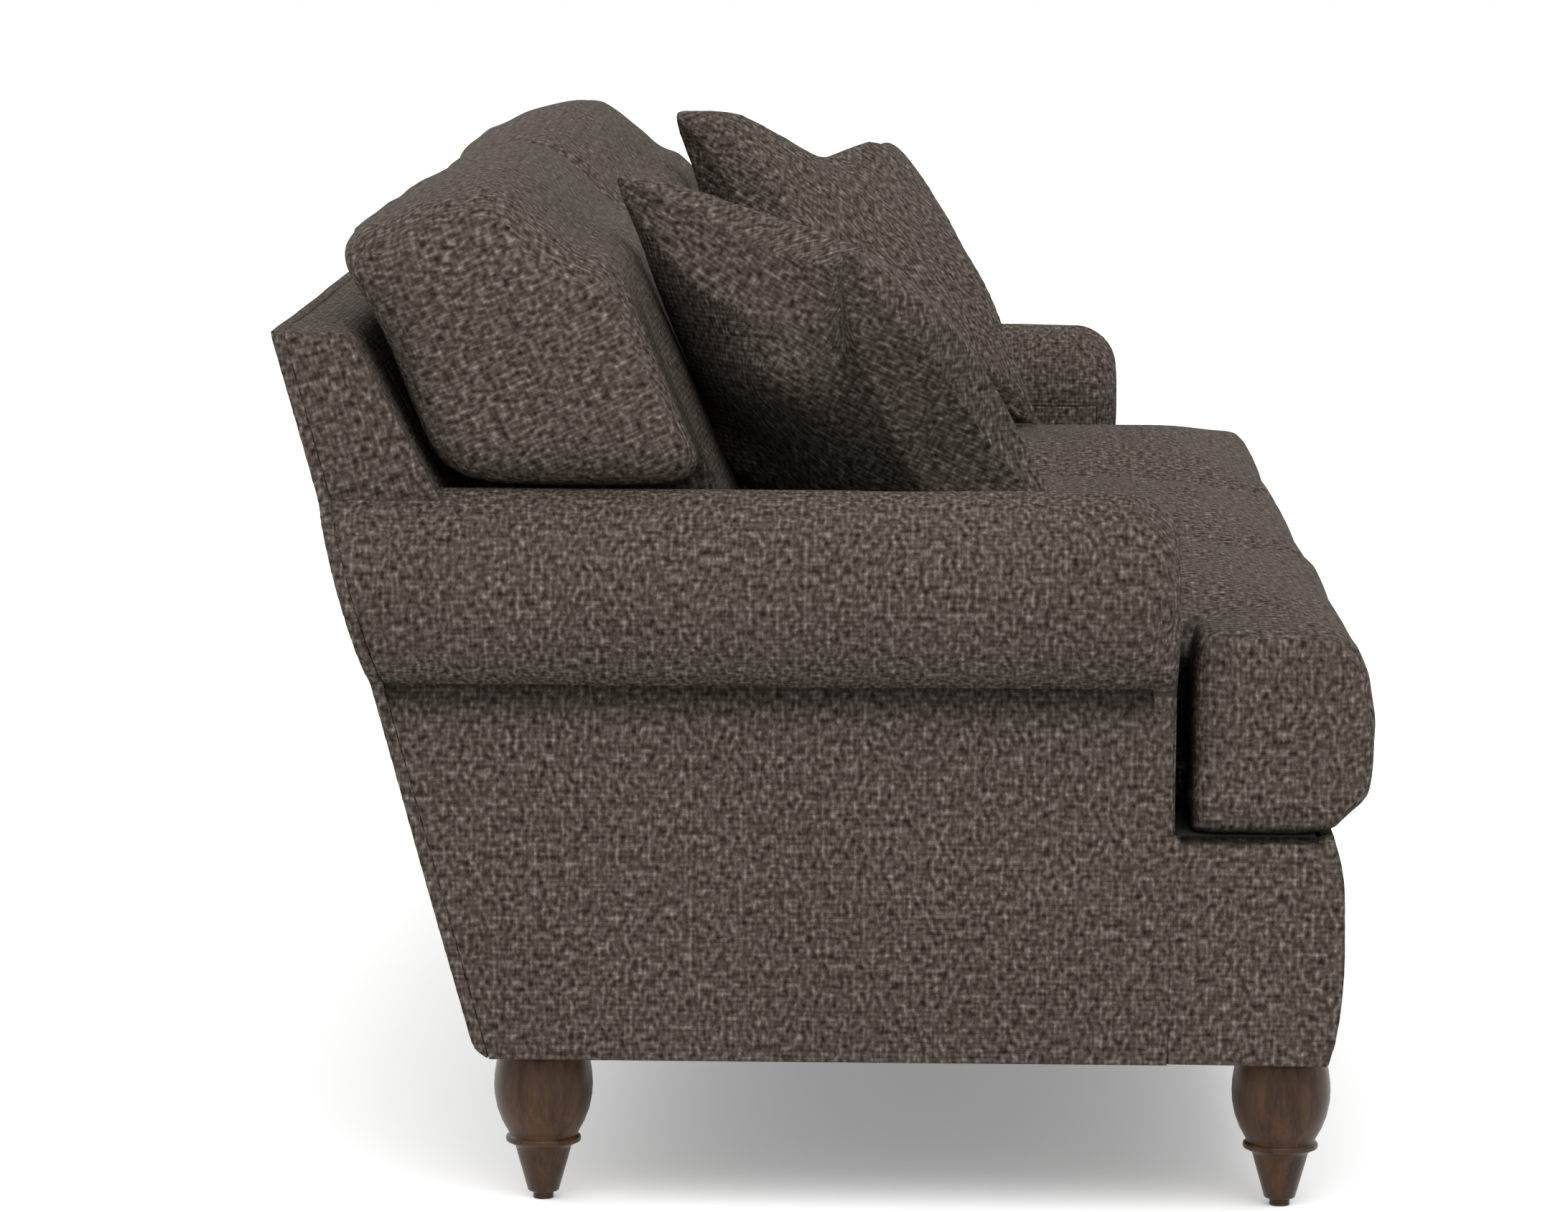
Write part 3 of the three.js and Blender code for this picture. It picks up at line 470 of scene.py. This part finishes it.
# A copy of a flat piece that keeps its faces and gets narrow round edges, cut across at the given levels
def crispCopy(node, width, corner=None, levels=()):
    piece = copyOf(node)
    makeActive(piece)
    bpy.ops.object.mode_set(mode="EDIT")
    bpy.ops.mesh.select_all(action="SELECT")
    bpy.ops.mesh.remove_doubles(threshold=weldReach)
    bpy.ops.mesh.dissolve_limited(angle_limit=math.radians(crisp["flatAngle"]))
    bpy.ops.object.mode_set(mode="OBJECT")
    if corner:
        roundEdges(piece, corner)
    bpy.ops.object.mode_set(mode="EDIT")
    for level in levels:
        bpy.ops.mesh.select_all(action="SELECT")
        bpy.ops.mesh.bisect(plane_co=(0, 0, level), plane_no=(0, 0, 1))
    bpy.ops.object.mode_set(mode="OBJECT")
    piece.data.materials.clear()
    applyModifier(piece, "BEVEL", width=width, segments=crisp["edgeSteps"], limit_method="ANGLE",
                  angle_limit=math.radians(crisp["edgeAngle"]))
    applyModifier(piece, "TRIANGULATE")
    return piece


relaxFactors = (0.5, -0.51)


# Evens a skin out, and swells it back after each pass so that it keeps its size
def relax(piece, times):
    for _ in range(times):
        for factor in relaxFactors:
            applyModifier(piece, "SMOOTH", factor=factor, iterations=1)


# Stretches a smoothed piece until it spans its plain solid again
def fillBox(piece, node):
    low, high = (np.array(corner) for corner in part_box(node))
    places = points(piece)
    least, most = places.min(axis=0), places.max(axis=0)
    movePoints(piece, low + (places - least) * ((high - low) / (most - least)))


# Moves the skin so that each listed spot shifts by its own step, and what lies within reach follows
def warp(piece, pulls, reach):
    spots, steps = (np.array([pull[k] for pull in pulls]) for k in (0, 1))
    near = np.exp(-((spots[:, None] - spots[None]) ** 2).sum(axis=2) / reach ** 2)
    weights = np.linalg.solve(near, steps)
    places = points(piece)
    first = 3 - spots.shape[1]
    seen = places[:, first:].copy()
    for spot, weight in zip(spots, weights):
        away = ((seen - spot) ** 2).sum(axis=1)
        places[:, first:] += np.exp(-away / reach ** 2)[:, None] * weight
    movePoints(piece, places)


def dimple(piece, depth, size, seed):
    places, normals = points(piece), vertexNormals(piece)
    waves = np.array([noise.noise(Vector(place) / size + Vector((seed, seed * 2, 0))) for place in places])
    movePoints(piece, places + normals * (waves * depth)[:, None])


wrap = {"endFacing": 0.6, "reach": 1.04}  # which faces of an arm are its round skin


# u and v run over the cloth in metres, v along the flecks; tilt turns the cloth on the faces that look sideways,
# and roll, given as centre x, centre z and radius, wraps it round an arm
def mapWeave(piece, roll=None, tilt=0):
    mesh = piece.data
    layer = mesh.uv_layers.get("weave") or mesh.uv_layers.new(name="weave")
    places = points(piece)
    corner = np.empty(len(mesh.loops), np.int32)
    mesh.loops.foreach_get("vertex_index", corner)
    counts = np.empty(len(mesh.polygons), np.int32)
    mesh.polygons.foreach_get("loop_total", counts)
    normals = np.empty(len(mesh.polygons) * 3)
    mesh.polygons.foreach_get("normal", normals)
    facing = np.abs(np.repeat(normals.reshape(-1, 3), counts, axis=0))
    spot = places[corner]
    sideways = facing[:, 0] >= np.maximum(facing[:, 1], facing[:, 2])
    u = np.where(sideways, spot[:, 1], spot[:, 0])
    v = np.where(facing[:, 2] > np.maximum(facing[:, 0], facing[:, 1]), spot[:, 1], spot[:, 2])
    angle = math.radians(tilt)
    u, v = (np.where(sideways, u * math.cos(angle) - v * math.sin(angle), u),
            np.where(sideways, u * math.sin(angle) + v * math.cos(angle), v))
    if roll:
        centreX, centreZ, radius = roll
        turn = np.arctan2(spot[:, 2] - centreZ, (spot[:, 0] - centreX) * np.sign(centreX))
        away = np.hypot(spot[:, 2] - centreZ, spot[:, 0] - centreX)
        skin = (facing[:, 1] < wrap["endFacing"]) & (away < radius * wrap["reach"])
        u = np.where(skin, spot[:, 1], u)
        v = np.where(skin, turn * radius, v)
    layer.data.foreach_set("uv", np.stack([u, v], axis=1).astype(np.float32).ravel())


# Stores the distance to a seam, and how much painted shade darkens the cloth in a crevice, from 0 to 1
def markCloth(piece, seam=1.0, creaseShade=0.0):
    for name, values in (("seam", seam), ("creaseShade", creaseShade)):
        layer = piece.data.attributes.new(name, "FLOAT", "POINT")
        filled = np.broadcast_to(np.asarray(values, np.float32), len(piece.data.vertices))
        layer.data.foreach_set("value", np.ascontiguousarray(filled))


def dress(piece, finishName, body, *nodes, fill=0.9):
    piece.data.materials.clear()
    piece.data.materials.append(finishes[finishName])
    makeActive(piece)
    bpy.ops.object.shade_smooth_by_angle(angle=math.radians(smoothBelow))
    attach(piece, body)
    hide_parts(*nodes)


# Feet, turned from one profile of radii and heights
foot = {
    "profile": [
        (0.0095, 0.0), (0.0095, 0.0065), (0.0135, 0.0070), (0.0145, 0.0080), (0.0235, 0.040), (0.0262, 0.0500),
        (0.0300, 0.0525), (0.0345, 0.0545), (0.0352, 0.0570), (0.0345, 0.0595), (0.0318, 0.0612), (0.0330, 0.0640),
        (0.0385, 0.0740), (0.0430, 0.0860), (0.0455, 0.0990), (0.0460, 0.1080), (0.0456, 0.1170), (0.0442, 0.1270),
        (0.0425, 0.1350), (0.0412, 0.1415),
    ],
    "steps": 72, "edge": 0.0008, "edgeAngle": 30,  # degrees
}


def turnFoot(name, node):
    low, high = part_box(node)
    axis = Vector(((low.x + high.x) / 2, (low.y + high.y) / 2, 0))
    previous = foot["profile"][0]
    bpy.ops.mesh.primitive_circle_add(vertices=foot["steps"], radius=previous[0], fill_type="NGON", location=axis)
    piece = bpy.context.object
    piece.name = name
    bpy.ops.object.mode_set(mode="EDIT")
    bpy.ops.mesh.select_all(action="SELECT")
    for radius, height in foot["profile"][1:]:
        bpy.ops.mesh.extrude_region_move(TRANSFORM_OT_translate={"value": (0, 0, height - previous[1])})
        share = radius / previous[0]
        bpy.ops.transform.resize(value=(share, share, 1), center_override=(axis.x, axis.y, height))
        previous = (radius, height)
    bpy.ops.mesh.select_all(action="SELECT")
    bpy.ops.mesh.normals_make_consistent(inside=False)
    bpy.ops.object.mode_set(mode="OBJECT")
    bpy.ops.object.transform_apply(location=True, rotation=True, scale=True)
    applyModifier(piece, "BEVEL", width=foot["edge"], segments=2, limit_method="ANGLE",
                  angle_limit=math.radians(foot["edgeAngle"]))
    makeActive(piece)
    bpy.ops.object.shade_smooth_by_angle(angle=math.radians(smoothBelow))
    piece.data.materials.append(finishes["walnut"])
    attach(piece, "frame")
    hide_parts(node)


for row in ("front", "rear"):
    for side in sides:
        turnFoot(f"turned_foot_{row}_{side}", f"foot_{row}_{side}")
print("feet are turned")


# Arms
arm = {
    "rollX": 1.008, "rollZ": 0.575, "rollRadius": 0.092, "frontY": -0.325, "panelX": 1.045, "insideX": 0.916,
    "frontRound": 0.047, "postRound": 0.012, "neck": (-0.075, -0.035), "dome": 0.004, "domeDeep": 0.03,
    "voxel": 0.0045, "relax": 3, "dimple": (0.0014, 0.11), "seed": 3,
    "seamZ": 0.488,  # where the roll meets the panel below it
    "settle": 0.0025, "settleZ": (0.372, 0.362),  # how far the arm front's foot sinks to the border
}
# The outside panel is drawn in below the roll, and runs up to the arm front; painted shade darkens the panel's top and
# the roll's low part where they meet under the roll
tuck = {
    "depth": 0.006, "from": (0.462, 0.492), "levels": [0.447 + 0.005 * k for k in range(11)], "skin": 0.002,
    "closeLow": 0.0006, "closeHigh": 0.0032, "notchZ": 0.350, "frontY": -0.295,
    "panelShadeZ": (0.448, 0.490), "panelShadeShare": 0.62, "rollShadeZ": 0.506, "rollShadeShare": 0.35,
}
base = {"bottom": 0.142, "rearFoot": 0.317, "rake": 0.2792, "cornerRound": 0.017, "near": (0.006, 0.004)}
wing = {"fromY": 0.332, "topZ": 0.785, "topY": 0.430}


def roundArmFront(places, sign):
    outward = places[:, 0] * sign
    aside, above = outward - arm["rollX"], places[:, 2] - arm["rollZ"]
    depth = np.clip(places[:, 1] - arm["frontY"], 0, 1)
    share = 1 - roundInset(arm["frontRound"], depth) / arm["rollRadius"]
    onRoll = ease(*arm["neck"], above)
    middle = (arm["panelX"] + arm["insideX"]) / 2
    half = (arm["panelX"] - arm["insideX"]) / 2
    postX = middle + (outward - middle) * (1 - roundInset(arm["postRound"], depth) / half)
    outward = (arm["rollX"] + aside * share) * onRoll + postX * (1 - onRoll)
    height = arm["rollZ"] + above * (share * onRoll + 1 - onRoll)
    away = np.hypot(outward - arm["rollX"], height - arm["rollZ"]) / arm["rollRadius"]
    swell = arm["dome"] * np.clip(1 - away ** 2, 0, 1) * ease(arm["domeDeep"], 0.0, depth)
    return np.stack([outward * sign, places[:, 1] - swell, height], axis=1)


# Rounds the low corner where the outside panels meet the outside back
def roundRearCorner(piece):
    places = points(piece)
    roundness = base["cornerRound"]
    rise = places[:, 2] - base["bottom"]
    forward = base["rearFoot"] + rise * base["rake"] - places[:, 1]
    low, deep = rise - roundness, forward - roundness
    length = np.hypot(low, deep)
    outside = (low < 0) & (deep < 0) & (length > roundness)
    share = np.where(outside, roundness / np.maximum(length, 1e-6), 1)
    places[:, 2] += low * (share - 1)
    places[:, 1] -= deep * (share - 1)
    movePoints(piece, places)


def isRearCorner(place):
    return abs(place.z - base["bottom"]) < base["near"][1] and abs(place.y - base["rearFoot"]) < base["near"][0]


def isWingTop(place):
    return place.z > wing["topZ"] and place.y < wing["topY"]


def coverRoll(side, sign):
    nodes = (f"arm_roll_{side}", f"arm_front_panel_{side}")
    piece = softCopy(arm["voxel"], *nodes)
    relax(piece, arm["relax"])
    movePoints(piece, roundArmFront(points(piece), sign))
    relax(piece, arm["relax"])
    dimple(piece, *arm["dimple"], sign * arm["seed"])
    places = points(piece)
    places[:, 2] -= arm["settle"] * ease(*arm["settleZ"], places[:, 2])
    movePoints(piece, places)
    # Painted shade on the roll's low part, just above where it meets the panel
    low = ease(tuck["rollShadeZ"], arm["seamZ"], places[:, 2]) * (places[:, 2] > arm["seamZ"] - tuck["skin"])
    onWing = places[:, 1] > wing["fromY"]
    seam = np.where(onWing & (places[:, 2] > arm["rollZ"]), np.abs(np.abs(places[:, 0]) - arm["panelX"]), 1.0)
    markCloth(piece, seam, tuck["rollShadeShare"] * low)
    mapWeave(piece, (sign * arm["rollX"], arm["rollZ"], arm["rollRadius"]))
    dress(piece, "tweed", "frame", *nodes)


flats = {
    "outside_arm_panel": {"edge": 0.0007, "tilt": 0, "corner": isRearCorner, "levels": tuck["levels"]},
    "inside_arm_pad": {"edge": 0.0040, "tilt": 0, "corner": None, "levels": ()},
    "back_wing": {"edge": 0.0015, "tilt": 15.6, "corner": isWingTop, "levels": ()},
}


# Draws the outside panel in, and gives the painted shade on its top under the roll
def tuckPanel(piece, sign):
    places = points(piece)
    onSkin = np.abs(places[:, 0]) > arm["panelX"] - tuck["skin"]
    places[:, 0] -= sign * tuck["depth"] * ease(*tuck["from"], places[:, 2]) * onSkin
    close = np.where(places[:, 2] > tuck["notchZ"], tuck["closeHigh"], tuck["closeLow"])
    places[:, 1] -= close * (places[:, 1] < tuck["frontY"])
    movePoints(piece, places)
    return tuck["panelShadeShare"] * ease(*tuck["panelShadeZ"], places[:, 2])


for side, sign in sides.items():
    coverRoll(side, sign)
    for name, flat in flats.items():
        node = f"{name}_{side}"
        piece = crispCopy(node, flat["edge"], flat["corner"], flat["levels"])
        # Only the outside panel gets painted shade, under the roll
        creaseShade = tuckPanel(piece, sign) if name == "outside_arm_panel" else 0.0
        markCloth(piece, creaseShade=creaseShade)
        mapWeave(piece, tilt=flat["tilt"])
        dress(piece, "tweed", "frame", node)
print("arms are covered")


# Front border, outside and inside back
borderEnd = {
    "round": 0.014, "top": 0.355, "roundDeep": 0.03, "freeY": (-0.323, -0.330),
    "seamY": -0.3190, "seamReach": 0.006,
    # Painted shade on the border's top ends reaches far inward in the slot, and only a little in front of it
    "slotY": -0.345, "slotReach": 0.14, "frontReach": 0.03,
    "shadeIn": (0.0005, 0.0045), "shadeZ": (0.336, 0.344), "noseY": (-0.470, -0.455),
    "fill": 0.0035, "fillZ": (0.255, 0.325), "fillY": (-0.40, -0.45),
}


# Rounds the border's top ends, and fills out its front below the seat cushions
def shapeBorder(piece):
    places = points(piece)
    drop = roundInset(borderEnd["round"], np.clip(arm["panelX"] - np.abs(places[:, 0]), 0, None))
    free = ease(*borderEnd["freeY"], places[:, 1])
    places[:, 2] -= drop * free * ease(borderEnd["top"] - borderEnd["roundDeep"], borderEnd["top"], places[:, 2])
    front = ease(*borderEnd["fillY"], places[:, 1])
    places[:, 1] -= borderEnd["fill"] * ease(*borderEnd["fillZ"], places[:, 2]) * front
    movePoints(piece, places)


# The seam at each end of the border, and painted shade on its top ends, in the slot beside the arm front and below the
# seat cushions' ears
def borderMarks(piece):
    places = points(piece)
    inward = arm["panelX"] - np.abs(places[:, 0])
    seam = np.where(inward < borderEnd["seamReach"], np.abs(places[:, 1] - borderEnd["seamY"]), 1.0)
    reach = np.where(places[:, 1] > borderEnd["slotY"], borderEnd["slotReach"], borderEnd["frontReach"])
    creaseShade = ease(*borderEnd["shadeIn"], inward) * ease(*borderEnd["shadeZ"], places[:, 2]) * (inward < reach)
    creaseShade *= ease(*borderEnd["noseY"], places[:, 1]) * ease(*borderEnd["freeY"], places[:, 1])
    return seam, creaseShade


panels = {"voxels": {"front_border": 0.0045, "outside_back_panel": 0.0055, "inside_back_pad": 0.007},
          "relax": 3, "dimple": (0.0012, 0.2, 7)}
for node, voxel in panels["voxels"].items():
    piece = softCopy(voxel, node)
    relax(piece, panels["relax"])
    if node == "outside_back_panel":
        roundRearCorner(piece)
    if node == "front_border":
        shapeBorder(piece)
    dimple(piece, *panels["dimple"])
    seam, creaseShade = borderMarks(piece) if node == "front_border" else (1.0, 0.0)
    markCloth(piece, seam, creaseShade)
    mapWeave(piece)
    dress(piece, "tweed", "frame", node)
print("border and back are covered")


# Deck and dust cover
deck = {"voxel": 0.006, "relax": 3, "dimple": (0.001, 0.12, 2)}
piece = softCopy(deck["voxel"], "seat_deck")
relax(piece, deck["relax"])
dimple(piece, *deck["dimple"])
mapWeave(piece)
dress(piece, "lining", "frame", "seat_deck")

dustCover = {"sag": 0.001, "thickness": 0.001, "step": 0.02, "below": 0.0006, "clear": 0.008}


def hangDustCover():
    low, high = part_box("dust_cover")
    centre = (low + high) / 2
    counts = [int((high[k] - low[k]) / dustCover["step"]) for k in (0, 1)]
    bpy.ops.mesh.primitive_grid_add(x_subdivisions=counts[0], y_subdivisions=counts[1], size=1,
                                    location=(centre.x, centre.y, high.z - dustCover["below"]))
    piece = bpy.context.object
    piece.name = "dust_cover_cloth"
    piece.scale = (high.x - low.x, high.y - low.y, 1)
    bpy.ops.object.transform_apply(location=True, rotation=True, scale=True)
    blocks = [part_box(f"corner_block_{row}_{side}") for row in ("front", "rear") for side in sides]
    clear = dustCover["clear"]
    bpy.ops.object.mode_set(mode="EDIT")
    bpy.ops.mesh.select_all(action="DESELECT")
    bpy.ops.object.mode_set(mode="OBJECT")
    for face in piece.data.polygons:
        x, y = face.center.x, face.center.y
        face.select = any(a.x - clear < x < b.x + clear and a.y - clear < y < b.y + clear for a, b in blocks)
    bpy.ops.object.mode_set(mode="EDIT")
    bpy.ops.mesh.delete(type="FACE")
    bpy.ops.object.mode_set(mode="OBJECT")
    places = points(piece)
    along, over = (np.sin(np.pi * np.clip((places[:, k] - low[k]) / (high[k] - low[k]), 0, 1)) for k in (0, 1))
    places[:, 2] -= dustCover["sag"] * np.sqrt(np.maximum(along * over, 0))
    movePoints(piece, places)
    applyModifier(piece, "SOLIDIFY", thickness=dustCover["thickness"], offset=0)
    piece.data.materials.append(finishes["lining"])
    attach(piece, "frame")
    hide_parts("dust_cover")


hangDustCover()
print("deck and dust cover are in")


# Loose cushions and pillows
cushions = {
    "seat": {"voxel": 0.009, "relax": 8, "fill": 0.8, "dimple": (0.0030, 0.20), "tilt": 0, "reach": 0.045},
    "back": {"voxel": 0.009, "relax": 8, "fill": 0.7, "dimple": (0.0045, 0.17), "tilt": 113.7, "reach": 0.050},
    "pillow": {"voxel": 0.0065, "relax": 5, "fill": 0.6, "dimple": (0.0035, 0.10), "tilt": 62, "reach": 0.055},
}
cushionSeed = 4

ear = {
    "fromX": (0.90, 0.93), "middle": 0.4593, "low": 0.104, "high": 0.084, "inset": 0.040, "highShare": 0.7,
    "rear": (-0.430, -0.365), "side": (0.985, 1.030),
    "front": 0.004, "frontY": (-0.42, -0.48),
    "back": 0.0045, "backY": (-0.405, -0.365), "neckY": -0.330,
    "lift": 0.0065, "liftSide": (1.005, 1.045), "liftLow": (0.385, 0.357),
}


# Squares off the end and the rear edge of a seat cushion's ear, fills out its front and narrows the slot behind it
def squareEar(piece):
    places = points(piece)
    sign = np.sign(places[:, 0])
    outward, height = np.abs(places[:, 0]), places[:, 2] - ear["middle"]
    reach = np.clip(np.where(height < 0, -height / ear["low"], height / ear["high"]), 0, 1)
    inset = ear["inset"] * (1 - np.sqrt(1 - reach ** 2)) * np.where(height < 0, 1, ear["highShare"])
    onEar = ease(*ear["fromX"], outward)
    places[:, 1] += inset * onEar * ease(*ear["rear"], places[:, 1])
    places[:, 0] += sign * inset * onEar * ease(*ear["side"], outward)
    places[:, 1] -= ear["front"] * ease(*ear["frontY"], places[:, 1])
    places[:, 1] += ear["back"] * onEar * ease(*ear["backY"], places[:, 1]) * (places[:, 1] < ear["neckY"])
    places[:, 2] += ear["lift"] * ease(*ear["liftSide"], outward) * ease(*ear["liftLow"], places[:, 2])
    movePoints(piece, places)


# Spots and the steps they take: (y, z) along a whole cushion, (x, y, z) on a pillow
slackSeat = [
    ((-0.520, 0.430), (-0.004, 0)), ((-0.500, 0.385), (-0.004, 0)), ((-0.515, 0.490), (0.002, 0)),
    ((-0.495, 0.535), (0.005, -0.003)), ((-0.462, 0.562), (0, -0.007)), ((-0.415, 0.570), (0, -0.002)),
]
pulls = {
    "seat": [
        ((-0.520, 0.430), (-0.005, 0)), ((-0.500, 0.385), (-0.006, 0)), ((-0.520, 0.490), (0, 0)),
        ((-0.470, 0.560), (0, -0.002)), ((-0.488, 0.362), (0, 0.0025)), ((-0.455, 0.357), (0, 0)),
    ],
    "seat_cushion_middle": slackSeat,
    "seat_cushion_right": slackSeat,
    "back": [
        ((0.424, 0.922), (0, -0.0110)), ((0.370, 0.930), (0, 0.0020)), ((0.301, 0.930), (0, 0.0128)),
        ((0.236, 0.908), (0, -0.0170)), ((0.432, 0.872), (0.0120, 0)), ((0.410, 0.800), (0, 0)),
        ((0.190, 0.860), (0, 0)),
    ],
    "throw_pillow_left": [
        ((-0.929, -0.066, 0.855), (0, 0.042, 0.024)), ((-0.905, -0.055, 0.810), (0, 0.030, 0.004)),
        ((-0.871, -0.056, 0.756), (0, 0.012, 0)), ((-0.828, -0.074, 0.702), (0, 0, 0)),
        ((-0.848, 0.028, 0.815), (0.017, -0.019, -0.006)), ((-0.895, -0.022, 0.832), (0.013, 0.006, 0.008)),
        ((-0.645, 0.192, 0.929), (0, 0.0125, 0.0035)), ((-0.657, 0.151, 0.923), (0, 0.0070, 0.0060)),
        ((-0.751, -0.022, 0.870), (0, 0, 0)), ((-0.797, -0.077, 0.841), (0, -0.005, 0)),
        ((-0.732, -0.093, 0.808), (0, -0.014, 0)), ((-0.693, -0.114, 0.770), (0, -0.017, 0)),
        ((-0.732, -0.151, 0.743), (0, -0.005, 0)), ((-0.649, 0.047, 0.632), (0, 0.028, 0)),
        ((-0.595, 0.081, 0.660), (0, 0.018, 0)), ((-0.712, 0.147, 0.865), (0, 0, 0)),
        ((-0.768, 0.102, 0.822), (0, 0, 0)), ((-0.819, 0.032, 0.761), (-0.012, 0.012, -0.006)),
        ((-0.760, 0.070, 0.740), (-0.010, 0.012, -0.004)),
    ],
    "throw_pillow_right": [
        ((0.634, 0.186, 0.943), (0, 0.007, -0.002)), ((0.637, 0.150, 0.934), (0, 0, 0.008)),
        ((0.684, 0.072, 0.917), (0, 0, -0.008)), ((0.722, 0.030, 0.903), (0, 0, -0.018)),
        ((0.760, 0.001, 0.895), (0, 0, -0.006)), ((0.817, -0.029, 0.888), (0, 0, 0.010)),
        ((0.907, -0.050, 0.877), (0, 0.006, 0.015)), ((0.869, -0.071, 0.865), (0, -0.0075, 0.002)),
        ((0.813, -0.114, 0.809), (0, -0.0062, 0)), ((0.755, -0.155, 0.736), (0, -0.008, 0)),
        ((0.738, -0.176, 0.696), (0, -0.006, 0)),
    ],
}

# Where painted shade darkens the cushions
shadedCreases = {
    "neckX": (0.900, 0.912), "neckY": (-0.3480, -0.3385),
    "underZ": (0.366, 0.360), "underX": (1.015, 1.030), "underShare": 0.8,
    "innerX": (0.84, 0.90), "outerX": (0.985, 0.940), "frontY": (0.215, 0.185), "highZ": (0.88, 0.80),
    "backShare": 0.6,
}


# Painted shade: darkens a seat cushion's neck in the slot beside the arm front and the cloth under its ear, and a back
# cushion where its ear meets its body
def creaseShadeOf(piece, kind):
    places = points(piece)
    outward = np.abs(places[:, 0])
    if kind == "seat":
        hidden = ease(*shadedCreases["neckX"], outward) * ease(*shadedCreases["neckY"], places[:, 1])
        under = ease(*shadedCreases["underZ"], places[:, 2]) * ease(*shadedCreases["underX"], outward)
        return np.maximum(hidden, under * shadedCreases["underShare"])
    if kind == "back":
        across = ease(*shadedCreases["outerX"], outward) * ease(*shadedCreases["innerX"], outward)
        along = ease(*shadedCreases["frontY"], places[:, 1]) * ease(*shadedCreases["highZ"], places[:, 2])
        return shadedCreases["backShare"] * across * along
    return 0.0


def stuff(node, kind):
    settings = cushions[kind]
    piece = softCopy(settings["voxel"], node)
    relax(piece, settings["relax"])
    fillBox(piece, node)
    if kind == "seat":
        squareEar(piece)
        relax(piece, 1)
    warp(piece, pulls.get(node) or pulls[kind], settings["reach"])
    dimple(piece, *settings["dimple"], cushionSeed)
    applyModifier(piece, "SUBSURF", levels=1, render_levels=1)
    markCloth(piece, creaseShade=creaseShadeOf(piece, kind))
    mapWeave(piece, tilt=settings["tilt"])
    dress(piece, "tweed", node, node, fill=settings["fill"])


for name in ("left", "middle", "right"):
    stuff(f"seat_cushion_{name}", "seat")
for side in sides:
    stuff(f"back_cushion_{side}", "back")
    stuff(f"throw_pillow_{side}", "pillow")
print("cushions and pillows are stuffed")

deselectAll()
